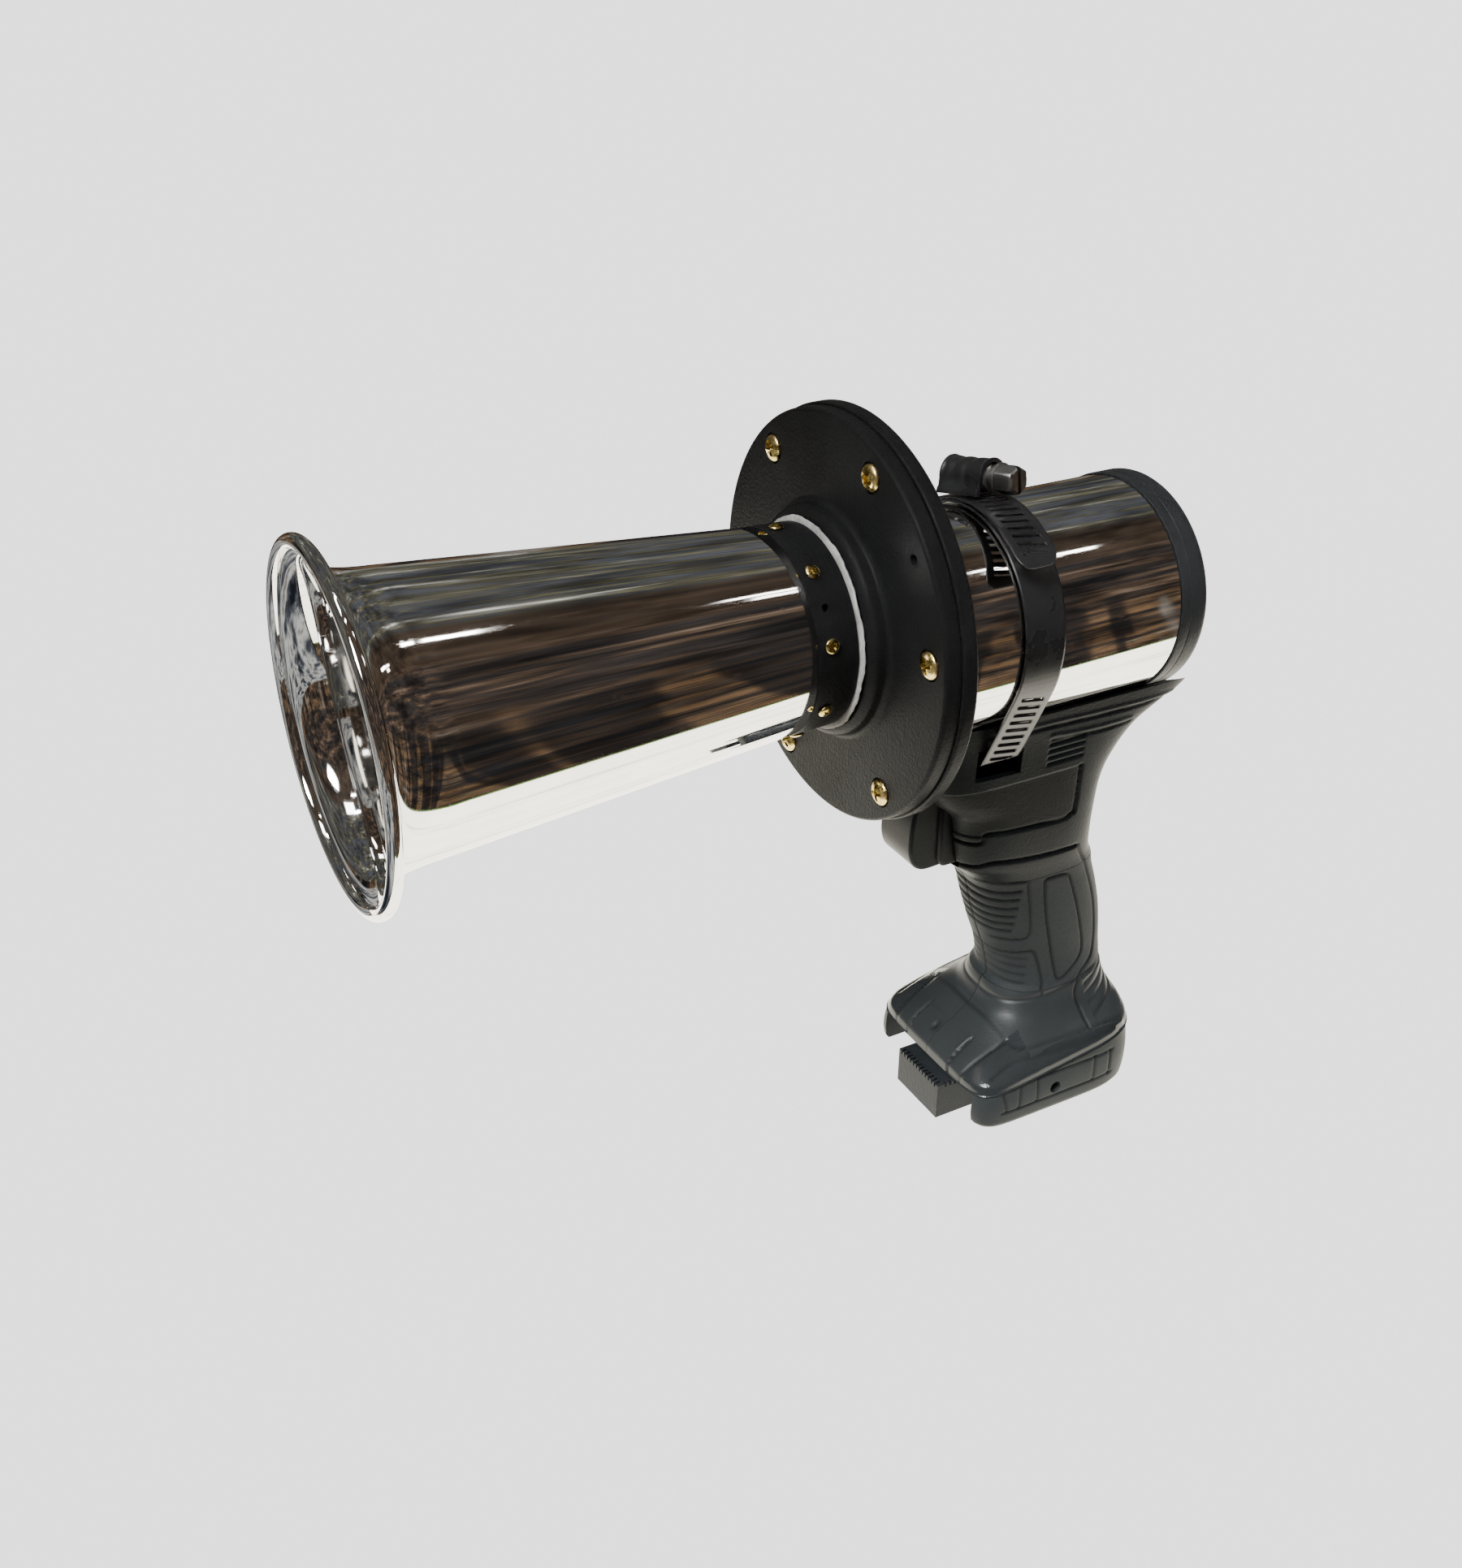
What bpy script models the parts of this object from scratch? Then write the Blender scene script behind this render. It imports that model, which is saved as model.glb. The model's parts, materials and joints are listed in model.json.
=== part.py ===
"""Motor-driven trumpet horn clamped to a cordless-tool pistol grip.

Metres, +Z up. The trumpet's mouth faces -Y, and +X is the gun's own left side.
The origin lies on the terminal block's underside, where a battery pack docks, in the
handle's mid-plane.
Sizes below are in millimetres, and mm() turns them into metres.
"""
import math

import bmesh
import bpy
from mathutils import Matrix, Vector

# ---- driving dimensions, millimetres -------------------------------------------------------
FLANGE_R = 62.0          # diaphragm cover
FACE_Y = -78.0           # front face of the diaphragm cover
CAN_R = 35.0             # chrome motor can
CAN_Z = 188.4            # height of the motor's axis
ECCENTRIC_X = -3.7       # trumpet axis relative to the motor axis: the toothed wheel's
ECCENTRIC_Z = 7.6        # tooth circle passes behind the middle of the diaphragm
CAN_REAR_Y = 25.4
TRUMPET_LENGTH = 131.3   # chrome part only
BELL_R = 51.8
TUBE_MOUTH_R = 40.0      # tube radius where the flare starts
TUBE_NECK_R = 31.0
WALL = 1.2
FLARE_LENGTH = 21.0
BAND_Y = -27.0           # middle of the clamp band at the motor axis
BAND_LEAN = 0.04         # the band sits askew: further back at the top
BAND_WIDTH = 14.2
BAND_THICK = 0.7
SHELL = 2.6              # moulded wall of the handle halves
RUBBER = 1.5             # grip sleeve
GAP = 0.3                # between touching pieces
TRIGGER_TRAVEL = 7.0
HOUSING_ANGLE = 100.0    # where the worm housing sits round the can, from +X, degrees
HOUSING_TWIST = 14.0     # the housing sits askew on the band

ROUND_STEPS = 32
FINE_STEPS = 40
TRUMPET_AXIS = (ECCENTRIC_X, CAN_Z + ECCENTRIC_Z)
MOTOR_AXIS = (0.0, CAN_Z)
TRUMPET_REAR_Y = FACE_Y - 21.2
MOUTH_Y = TRUMPET_REAR_Y - TRUMPET_LENGTH
COVER_SCREWS = [7.5 + 60 * i for i in range(6)]
NECK_SCREWS = [13 + 40 * i for i in range(9)]
COVER_SCREW_CIRCLE = 54.0
# Name, y, z and how far the boss reaches from the parting plane.
HANDLE_SCREWS = [("head_front", -41.0, 141.0, 20.0), ("head_rear", 12.6, 137.0, 18.8),
                 ("grip", 12.0, 62.0, 13.4)]


def mm(*values):
    """Millimetres to metres, as a Vector for three values."""
    if len(values) == 1:
        return values[0] / 1000.0
    return Vector([v / 1000.0 for v in values])


# ---- scene, collections and materials ------------------------------------------------------
for old in list(bpy.data.objects):
    bpy.data.objects.remove(old, do_unlink=True)

PARTS = bpy.data.collections.new("horn_gun")
CUTTERS = bpy.data.collections.new("cutters")
bpy.context.scene.collection.children.link(PARTS)
bpy.context.scene.collection.children.link(CUTTERS)


def material(name, colour, roughness, metallic):
    mat = bpy.data.materials.new(name)
    mat.use_nodes = True
    shader = mat.node_tree.nodes["Principled BSDF"]
    shader.inputs["Base Color"].default_value = (*colour, 1.0)
    shader.inputs["Roughness"].default_value = roughness
    shader.inputs["Metallic"].default_value = metallic
    return mat


CHROME = material("chrome", (0.78, 0.77, 0.75), 0.05, 1.0)
BLACK_CAST = material("black_cast_plastic", (0.015, 0.015, 0.016), 0.42, 0.0)
SEALANT = material("sealant", (0.62, 0.62, 0.60), 0.55, 0.0)
BRASS = material("brass_plate", (0.72, 0.52, 0.20), 0.25, 1.0)
STEEL = material("steel", (0.55, 0.55, 0.56), 0.3, 1.0)
COPPER = material("copper", (0.72, 0.35, 0.18), 0.3, 1.0)
FERRITE = material("ferrite", (0.05, 0.05, 0.055), 0.7, 0.0)
CARBON = material("carbon", (0.02, 0.02, 0.02), 0.6, 0.0)
BAND_STEEL = material("blackened_steel", (0.035, 0.035, 0.038), 0.35, 1.0)
SHELL_PLASTIC = material("shell_plastic", (0.025, 0.028, 0.030), 0.45, 0.0)
GRIP_RUBBER = material("grip_rubber", (0.035, 0.040, 0.043), 0.7, 0.0)
TRIGGER_PLASTIC = material("trigger_plastic", (0.03, 0.033, 0.035), 0.4, 0.0)
TERMINAL_PLASTIC = material("terminal_plastic", (0.07, 0.075, 0.08), 0.5, 0.0)
LEAD_RED = material("lead_red", (0.45, 0.02, 0.02), 0.5, 0.0)
LEAD_BLACK = material("lead_black", (0.02, 0.02, 0.02), 0.5, 0.0)


def add(name, mesh, mat, collection=PARTS):
    obj = bpy.data.objects.new(name, mesh)
    collection.objects.link(obj)
    if mat is not None:
        mesh.materials.clear()
        mesh.materials.append(mat)
    if collection is CUTTERS:
        obj.hide_render = True
        obj.display_type = 'WIRE'
    return obj


def add_bmesh(name, bm, mat, collection=PARTS):
    bmesh.ops.recalc_face_normals(bm, faces=bm.faces)
    mesh = bpy.data.meshes.new(name)
    bm.to_mesh(mesh)
    bm.free()
    return add(name, mesh, mat, collection)


def bevel(obj, width, segments=2, angle=35.0):
    mod = obj.modifiers.new("bevel", 'BEVEL')
    mod.width = mm(width)
    mod.segments = segments
    mod.limit_method = 'ANGLE'
    mod.angle_limit = math.radians(angle)


def boolean(obj, other, operation='DIFFERENCE'):
    mod = obj.modifiers.new(operation.lower(), 'BOOLEAN')
    mod.operation = operation
    mod.object = other
    mod.solver = 'EXACT'


# ---- shapes --------------------------------------------------------------------------------
def lathe(name, profile, axis, mat, steps=ROUND_STEPS, collection=PARTS):
    """Turn a closed (y, radius) profile about a line along Y through axis = (x, z)."""
    pairs = zip(profile, profile[1:] + profile[:1])
    area = sum(a[0] * b[1] - b[0] * a[1] for a, b in pairs)
    if area < 0:
        profile = profile[::-1]
    touches_axis = [i for i, point in enumerate(profile) if point[1] == 0.0]
    edges = [(i, (i + 1) % len(profile)) for i in range(len(profile))]
    edges = [e for e in edges if not (e[0] in touches_axis and e[1] in touches_axis)]
    mesh = bpy.data.meshes.new(name)
    mesh.from_pydata([mm(r, 0.0, y) for y, r in profile], edges, [])
    obj = add(name, mesh, mat, collection)
    obj.rotation_euler = (-math.pi / 2, 0.0, 0.0)
    obj.location = mm(axis[0], 0.0, axis[1])
    screw = obj.modifiers.new("turn", 'SCREW')
    screw.steps = steps
    screw.render_steps = steps
    screw.use_merge_vertices = True
    screw.merge_threshold = 0.00001
    screw.use_smooth_shade = True
    return obj


def rod(name, start, end, radius, mat, steps=16, collection=PARTS):
    """Plain cylinder between two points."""
    a, b = mm(*start), mm(*end)
    bm = bmesh.new()
    turn = (b - a).to_track_quat('Z', 'Y').to_matrix().to_4x4()
    bmesh.ops.create_cone(bm, cap_ends=True, segments=steps, radius1=mm(radius), radius2=mm(radius),
                          depth=(b - a).length, matrix=Matrix.Translation((a + b) / 2) @ turn)
    return add_bmesh(name, bm, mat, collection)


def box(name, low, high, mat=None, collection=PARTS):
    a, b = mm(*low), mm(*high)
    size = b - a
    place = Matrix.Translation((a + b) / 2) @ Matrix.Diagonal((*size, 1.0))
    bm = bmesh.new()
    bmesh.ops.create_cube(bm, size=1.0, matrix=place)
    return add_bmesh(name, bm, mat, collection)


def plate(name, outline, x_low, x_high, mat, collection=PARTS):
    """A (y, z) outline extruded along X."""
    bm = bmesh.new()
    face = bm.faces.new([bm.verts.new(mm(x_low, y, z)) for y, z in outline])
    out = bmesh.ops.extrude_face_region(bm, geom=[face])
    moved = [v for v in out["geom"] if isinstance(v, bmesh.types.BMVert)]
    bmesh.ops.translate(bm, verts=moved, vec=mm(x_high - x_low, 0.0, 0.0))
    return add_bmesh(name, bm, mat, collection)


def oval(z, half_width, front, rear, power, tilt=0.0, points=28):
    """One section of the handle: a superellipse, squarer with a larger power.

    power is one number, or a pair for the front and the rear half; tilt is how much the
    flat section climbs per millimetre towards the rear, z being its height at y = 0.
    """
    middle, half_depth = (front + rear) / 2, (rear - front) / 2
    front_power, rear_power = power if isinstance(power, tuple) else (power, power)
    ring = []
    for i in range(points):
        angle = 2 * math.pi * (i + 0.5) / points
        c, s = math.cos(angle), math.sin(angle)
        exponent = 2 / (rear_power if s > 0 else front_power)
        x = half_width * math.copysign(abs(c) ** exponent, c)
        y = middle + half_depth * math.copysign(abs(s) ** exponent, s)
        ring.append((x, y, z + tilt * y))
    return ring


def skin(bm, rings):
    """Join rings with the same number of points, and close both ends."""
    for low, high in zip(rings, rings[1:]):
        for i, corner in enumerate(low):
            j = (i + 1) % len(low)
            bm.faces.new((corner, low[j], high[j], high[i]))
    bm.faces.new(rings[0][::-1])
    bm.faces.new(rings[-1])


def loft(name, sections, mat, collection=PARTS):
    bm = bmesh.new()
    skin(bm, [[bm.verts.new(mm(*point)) for point in ring] for ring in sections])
    return add_bmesh(name, bm, mat, collection)


def wire(name, route, radius, mat):
    """A lead along a smooth curve through the route's points."""
    knots = [Vector(p) for p in route]
    knots = [2 * knots[0] - knots[1]] + knots + [2 * knots[-1] - knots[-2]]
    path = []
    for a, b, c, d in zip(knots, knots[1:], knots[2:], knots[3:]):
        for k in range(4):
            t = k / 4
            path.append(0.5 * ((2 * b) + (c - a) * t + (2 * a - 5 * b + 4 * c - d) * t * t
                               + (3 * b - a - 3 * c + d) * t ** 3))
    path.append(knots[-2])
    curve = bpy.data.curves.new(name, 'CURVE')
    curve.dimensions = '3D'
    curve.bevel_depth = mm(radius)
    curve.bevel_resolution = 1
    curve.use_fill_caps = True
    spline = curve.splines.new('POLY')
    spline.points.add(len(path) - 1)
    for point, place in zip(spline.points, path):
        point.co = (*mm(*place), 1.0)
    curve.materials.append(mat)
    obj = bpy.data.objects.new(name, curve)
    PARTS.objects.link(obj)
    return obj


def around(axis, radius, degrees, y):
    """Point on a circle about a line along Y."""
    angle = math.radians(degrees)
    return (axis[0] + radius * math.cos(angle), y, axis[1] + radius * math.sin(angle))


def outward(degrees):
    angle = math.radians(degrees)
    return Vector((math.cos(angle), 0.0, math.sin(angle)))


# ---- trumpet, collar and sealant -----------------------------------------------------------
def trumpet():
    """Thin tapering tube with a short flare and a rolled rim."""
    flare_y = MOUTH_Y + FLARE_LENGTH
    rise = BELL_R - 2.2 - TUBE_MOUTH_R
    outer = [(TRUMPET_REAR_Y, TUBE_NECK_R), (flare_y, TUBE_MOUTH_R)]
    for k in range(1, 7):
        t = k / 6
        outer.append((flare_y - (FLARE_LENGTH - 2.2) * math.sin(t * math.pi / 2) ** 0.9,
                      TUBE_MOUTH_R + rise * (0.25 * t + 0.75 * t ** 2.6)))
    bead = [(MOUTH_Y + 2.2 + 2.2 * math.sin(a), BELL_R - 2.2 + 2.2 * math.cos(a))
            for a in [math.radians(v) for v in (60, 10, -40, -90, -140)]]
    inner = [(y + 0.3, r - WALL) for y, r in outer[::-1]]
    inner[-1] = (TRUMPET_REAR_Y, TUBE_NECK_R - WALL)
    return lathe("trumpet", outer[:-1] + bead + inner[1:], TRUMPET_AXIS, CHROME, steps=FINE_STEPS)


def neck_collar():
    front, rear = TRUMPET_REAR_Y - GAP, FACE_Y - 7.6
    profile = [(rear, 30.6), (TRUMPET_REAR_Y + GAP, TUBE_NECK_R), (TRUMPET_REAR_Y + GAP, 29.4),
               (front - 8.0, 29.4), (front - 8.0, 26.6), (rear, 26.6)]
    collar = lathe("neck_collar", profile, TRUMPET_AXIS, BLACK_CAST)
    for i, angle in enumerate(NECK_SCREWS):
        cutter = rod(f"cut_neck_{i}", around(TRUMPET_AXIS, 26.0, angle, TRUMPET_REAR_Y + 4.6),
                     around(TRUMPET_AXIS, 34.0, angle, TRUMPET_REAR_Y + 4.6), 1.4, None, 6, CUTTERS)
        boolean(collar, cutter)
    boolean(collar, rod("cut_neck_spare", around(TRUMPET_AXIS, 28.2, 33.0, TRUMPET_REAR_Y + 4.9),
                        around(TRUMPET_AXIS, 34.0, 33.0, TRUMPET_REAR_Y + 4.9), 1.2, None, 6, CUTTERS))
    return collar


def pan_screw(name, base, axis, head_radius, head_height, shank_radius, shank_length):
    """Pan-head screw; base is under the head, axis points out of it."""
    bm = bmesh.new()
    rings = [(-shank_length, shank_radius), (0.0, shank_radius), (0.0, head_radius),
             (0.5 * head_height, head_radius), (head_height, 0.6 * head_radius)]
    steps = 8
    turn = Vector(axis).to_track_quat('Z', 'Y').to_matrix().to_4x4()
    place = Matrix.Translation(mm(*base)) @ turn
    loops = []
    for height, radius in rings:
        loop = []
        for i in range(steps):
            angle = 2 * math.pi * i / steps
            point = mm(radius * math.cos(angle), radius * math.sin(angle), height)
            loop.append(bm.verts.new(place @ point))
        loops.append(loop)
    skin(bm, loops)
    return add_bmesh(name, bm, BRASS)


def neck_screws():
    for i, angle in enumerate(NECK_SCREWS):
        base = around(TRUMPET_AXIS, TUBE_NECK_R + 0.2, angle, TRUMPET_REAR_Y + 4.6)
        pan_screw(f"neck_screw_{i + 1}", base, outward(angle), 2.2, 1.0, 1.1, 4.2)


def seal_bead():
    y = FACE_Y - 6.7
    profile = [(y + 0.6, 27.0), (y + 0.6, 31.3), (y + 0.2, 31.8), (y - 0.2, 31.8),
               (y - 0.6, 31.3), (y - 0.6, 27.0)]
    return lathe("seal_bead", profile, TRUMPET_AXIS, SEALANT)


# ---- diaphragm housing ---------------------------------------------------------------------
def flange_holes(obj, name, radius, y_from, y_to):
    for i, angle in enumerate(COVER_SCREWS):
        start = around(TRUMPET_AXIS, COVER_SCREW_CIRCLE, angle, y_from)
        end = around(TRUMPET_AXIS, COVER_SCREW_CIRCLE, angle, y_to)
        boolean(obj, rod(f"cut_{name}_{i}", start, end, radius, None, 8, CUTTERS))


def diaphragm_cover():
    """Front flange with the neck boss that the spigot is pressed against."""
    profile = [(-72.9, FLANGE_R), (-77.2, FLANGE_R), (FACE_Y, FLANGE_R - 0.8), (FACE_Y, 36.4),
               (-79.0, 35.0), (-82.2, 34.6), (-83.1, 33.8), (-83.7, 32.4), (-83.7, 22.4),
               (-80.0, 22.0), (-76.6, 14.0), (-74.8, 14.0), (-74.0, 45.8), (-72.9, 45.8)]
    cover = lathe("diaphragm_cover", profile, TRUMPET_AXIS, BLACK_CAST, steps=FINE_STEPS)
    flange_holes(cover, "cover", 2.3, -90.0, -60.0)
    flange_holes(cover, "cover_recess", 4.5, -79.5, -77.0)
    pilot_from = around(TRUMPET_AXIS, 55.3, 38.0, -80.0)
    pilot_to = around(TRUMPET_AXIS, 55.3, 38.0, -75.5)
    boolean(cover, rod("cut_pilot", pilot_from, pilot_to, 1.6, None, 12, CUTTERS))
    return cover


def neck_spigot():
    """Tube on the front of the boss that the collar slides over."""
    profile = [(-84.0, 26.3), (-98.0, 26.3), (-98.0, 23.6), (-84.0, 22.5)]
    return lathe("neck_spigot", profile, TRUMPET_AXIS, BLACK_CAST)


def cover_screws():
    for i, angle in enumerate(COVER_SCREWS):
        base = around(TRUMPET_AXIS, COVER_SCREW_CIRCLE, angle, -77.3)
        pan_screw(f"cover_screw_{i + 1}", base, (0, -1, 0), 4.1, 2.4, 2.0, 8.8)


def diaphragm_stack():
    ring = lathe("gasket", [(-72.0, 46.0), (-72.0, 61.2), (-72.6, 61.2), (-72.6, 46.0)],
                 TRUMPET_AXIS, BLACK_CAST)
    flange_holes(ring, "gasket", 2.3, -90.0, -60.0)
    disc = lathe("diaphragm", [(-71.3, 1.9), (-71.3, 60.8), (-71.7, 60.8), (-71.7, 1.9)],
                 TRUMPET_AXIS, STEEL)
    flange_holes(disc, "diaphragm", 2.3, -90.0, -60.0)
    lathe("diaphragm_button", [(-69.1, 0.0), (-69.1, 3.4), (-71.0, 3.4), (-71.0, 1.6), (-72.0, 1.6),
                               (-72.0, 4.0), (-73.0, 3.4), (-73.0, 0.0)], TRUMPET_AXIS, STEEL, steps=20)


def diaphragm_housing():
    """Rear flange; the rim lip hides the edges of the gasket and diaphragm."""
    profile = [(-67.6, 0.0), (-67.6, 62.2), (-68.3, 62.9), (-72.0, 62.9), (-72.6, 62.5),
               (-72.6, 61.5), (-71.0, 61.5), (-71.0, 45.0), (-70.2, 43.0), (-70.2, 0.0)]
    housing = lathe("diaphragm_housing", profile, TRUMPET_AXIS, BLACK_CAST, steps=FINE_STEPS)
    flange_holes(housing, "housing", 2.3, -90.0, -60.0)
    boolean(housing, rod("cut_wheel_room", (0, -80, CAN_Z), (0, -60, CAN_Z), 14.5, None, 28, CUTTERS))
    return housing


# ---- motor ---------------------------------------------------------------------------------
def motor_can():
    profile = [(CAN_REAR_Y, CAN_R), (-66.2, CAN_R), (-67.3, CAN_R - 1.1), (-67.3, 14.5),
               (-65.7, 14.5), (-65.7, CAN_R - 1.6), (CAN_REAR_Y, CAN_R - 1.6)]
    can = lathe("motor_can", profile, MOTOR_AXIS, CHROME, steps=FINE_STEPS)
    bottom = CAN_Z - CAN_R
    boolean(can, rod("cut_lead_entry", (0, -2, bottom - 4), (0, -2, bottom + 4), 3.0, None, 12, CUTTERS))
    return can


def motor_end_cap():
    profile = [(37.0, 2.6), (37.0, 33.4), (36.4, 34.8), (35.0, 35.5), (25.7, 35.5), (25.7, 33.1),
               (21.0, 33.1), (21.0, 31.5), (34.3, 31.5), (34.3, 11.0), (26.0, 11.0), (26.0, 8.0),
               (33.2, 8.0), (33.2, 2.6)]
    return lathe("motor_end_cap", profile, MOTOR_AXIS, BLACK_CAST, steps=FINE_STEPS)


def magnet(name, side):
    """Ferrite arc bonded inside the can."""
    span = [math.radians(-62 + 124 * k / 10) for k in range(11)]
    bm = bmesh.new()
    rings = []
    for y in (-50.0, 12.0):
        outer = [mm(side * 33.1 * math.cos(a), y, CAN_Z + 33.1 * math.sin(a)) for a in span]
        inner = [mm(side * 28.2 * math.cos(a), y, CAN_Z + 28.2 * math.sin(a)) for a in span[::-1]]
        rings.append([bm.verts.new(p) for p in outer + inner])
    skin(bm, rings)
    return add_bmesh(name, bm, FERRITE)


def armature():
    """Everything that spins about the motor axis; each piece keeps its origin on that axis."""
    lathe("armature_shaft", [(32.6, 0.0), (32.6, 3.0), (31.6, 4.0), (-66.0, 4.0), (-66.0, 0.0)],
          MOTOR_AXIS, STEEL, steps=20)
    core = lathe("armature_core", [(2.0, 4.3), (2.0, 27.2), (-40.0, 27.2), (-40.0, 4.3)],
                 MOTOR_AXIS, STEEL, steps=36)
    for i in range(9):
        a, b = around(MOTOR_AXIS, 25.0, 40 * i, -45), around(MOTOR_AXIS, 25.0, 40 * i, 6)
        boolean(core, rod(f"cut_slot_{i}", a, b, 3.2, None, 8, CUTTERS))
    for name, near, far in (("winding_front", -40.3, -51.0), ("winding_rear", 7.4, 2.3)):
        lathe(name, [(near, 6.0), (near, 23.0), (near + 0.25 * (far - near), 25.0),
                     (near + 0.8 * (far - near), 22.0), (far, 16.0), (far, 6.0)],
              MOTOR_AXIS, COPPER, steps=28)
    lathe("commutator", [(20.0, 4.3), (20.0, 10.0), (9.0, 10.0), (9.0, 11.5), (7.8, 11.5), (7.8, 4.3)],
          MOTOR_AXIS, COPPER, steps=24)
    wheel = lathe("ratchet_wheel", [(-59.9 - 3.8, 4.3), (-63.7, 12.6), (-68.6, 12.6), (-68.6, 5.4),
                                    (-66.6, 5.4), (-66.6, 4.3)], MOTOR_AXIS, STEEL, steps=32)
    for i in range(8):
        a, b = around(MOTOR_AXIS, 4.0, 45 * i, -68.6), around(MOTOR_AXIS, 14.0, 45 * i, -68.6)
        boolean(wheel, rod(f"cut_tooth_{i}", a, b, 1.5, None, 6, CUTTERS))


def motor_supports():
    lathe("front_bearing_plate", [(-57.5, 8.0), (-57.5, 33.1), (-60.0, 33.1), (-60.0, 8.0)],
          MOTOR_AXIS, STEEL)
    for name, near, far in (("front_bearing", -55.5, -61.5), ("rear_bearing", 32.0, 24.5)):
        lathe(name, [(near, 4.05), (near, 7.7), (far, 7.7), (far, 4.05)], MOTOR_AXIS, BRASS, steps=24)
    lathe("brush_plate", [(23.6, 11.4), (23.6, 31.2), (21.4, 31.2), (21.4, 11.4)],
          MOTOR_AXIS, BLACK_CAST)
    for name, side in (("brush_left", 1), ("brush_right", -1)):
        inner, outer = sorted((side * 10.4, side * 19.0))
        box(name, (inner, 12.0, CAN_Z - 3.0), (outer, 18.5, CAN_Z + 3.0), CARBON)
    lathe("adjust_screw", [(41.0, 0.0), (41.0, 3.6), (40.3, 4.4), (37.5, 4.4), (37.5, 2.3),
                           (32.9, 2.3), (32.9, 0.0)], MOTOR_AXIS, STEEL, steps=20)
    boolean(bpy.data.objects["adjust_screw"],
            box("cut_adjust", (-6, 39.8, CAN_Z - 0.6), (6, 42, CAN_Z + 0.6), None, CUTTERS))


# ---- hose clamp ----------------------------------------------------------------------------
WORM_RADIUS = 4.3
WORM_CENTRE_R = 42.6     # worm axis from the motor axis
HOUSING_Y = BAND_Y + BAND_LEAN * (CAN_R + 4.0)
SLOT_Y = BAND_Y - BAND_LEAN * (CAN_R + 3.0)
BAND_R = CAN_R + 0.75 + BAND_THICK / 2


def clamp_path():
    """Open strip: fixed end under the housing, round the can and through the handle head,
    over its own start inside the housing, and off as a straight tail towards +X."""
    release = -24.0
    lap_r = BAND_R + BAND_THICK + 0.35
    points = [around(MOTOR_AXIS, BAND_R, a, 0) for a in range(120, int(release) - 1, -9)]
    points += [(26.2, 0, 158.2), (22.7, 0, 150.4), (21.2, 0, 147.4), (17.5, 0, 145.9)]
    points += [(-x, 0, z) for x, _, z in points[:-5:-1]]
    points += [around(MOTOR_AXIS, BAND_R, a, 0) for a in range(204, 139, -8)]
    points += [around(MOTOR_AXIS, lap_r, a, 0) for a in (132, 125, 116, 107, 98)]
    leave = Vector(points[-1])
    for k in range(1, 6):
        rise = 0.30 - 0.17 * k
        leave = leave + 8.4 * Vector((1.0, 0.0, rise)).normalized()
        points.append(tuple(leave))
    return points


def clamp_band():
    bm = bmesh.new()
    rows = []
    for x, _, z in clamp_path():
        middle = BAND_Y + BAND_LEAN * (z - CAN_Z)
        rows.append([bm.verts.new(mm(x, middle + side, z)) for side in (-BAND_WIDTH / 2, BAND_WIDTH / 2)])
    for a, b in zip(rows, rows[1:]):
        bm.faces.new((a[0], a[1], b[1], b[0]))
    band = add_bmesh("clamp_band", bm, BAND_STEEL)
    mod = band.modifiers.new("thickness", 'SOLIDIFY')
    mod.thickness = mm(BAND_THICK)
    mod.offset = 0.0
    return band


def clamp_frame():
    """Housing axes: u along the worm, v along +Y, w away from the can."""
    w = outward(HOUSING_ANGLE)
    along = outward(HOUSING_ANGLE - 90.0)
    twist = math.radians(HOUSING_TWIST)
    u = along * math.cos(twist) + Vector((0.0, math.sin(twist), 0.0))
    v = w.cross(u)
    turn = Matrix((u, v, w)).transposed().to_4x4()
    return Matrix.Translation(mm(0.0, HOUSING_Y, CAN_Z)) @ turn


def clamp_housing():
    """Pressed arch over the worm, with side skirts that grip the band's edges."""
    arch = []
    for r, half, foot in ((WORM_RADIUS + 1.5, 7.6, 38.4), (WORM_RADIUS + 0.5, 6.6, 38.4)):
        curve = [(r * math.cos(math.radians(a)), WORM_CENTRE_R + r * math.sin(math.radians(a)))
                 for a in range(0, 181, 20)]
        arch.append([(half, foot), (half, 39.6), *curve, (-half, 39.6), (-half, foot)])
    outline = arch[0] + arch[1][::-1]
    bm = bmesh.new()
    place = clamp_frame()
    skin(bm, [[bm.verts.new(place @ mm(u, v, w)) for v, w in outline] for u in (-8.0, 8.0)])
    return add_bmesh("clamp_housing", bm, BAND_STEEL)


def clamp_screw():
    """Worm, collar and slotted hexagon head."""
    bm = bmesh.new()
    place = clamp_frame() @ Matrix.Translation(mm(0, 0, WORM_CENTRE_R))
    rings = [(-8.6, 3.4), (-7.6, WORM_RADIUS), (8.4, WORM_RADIUS), (8.8, 2.6), (10.0, 2.6),
             (10.4, 4.9), (11.6, 4.9), (11.6, 4.5), (17.2, 4.5), (18.0, 3.9)]
    loops = []
    for u, radius in rings:
        loops.append([bm.verts.new(mm(u, radius * math.cos(math.radians(a)),
                                      radius * math.sin(math.radians(a))))
                      for a in range(0, 360, 24)])
    skin(bm, loops)
    screw = add_bmesh("clamp_screw", bm, BAND_STEEL)
    screw.matrix_world = place
    slot = box("cut_clamp_slot", (16.4, -0.7, -7), (19, 0.7, 7), None, CUTTERS)
    slot.matrix_world = place
    boolean(screw, slot)
    return screw


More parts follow.
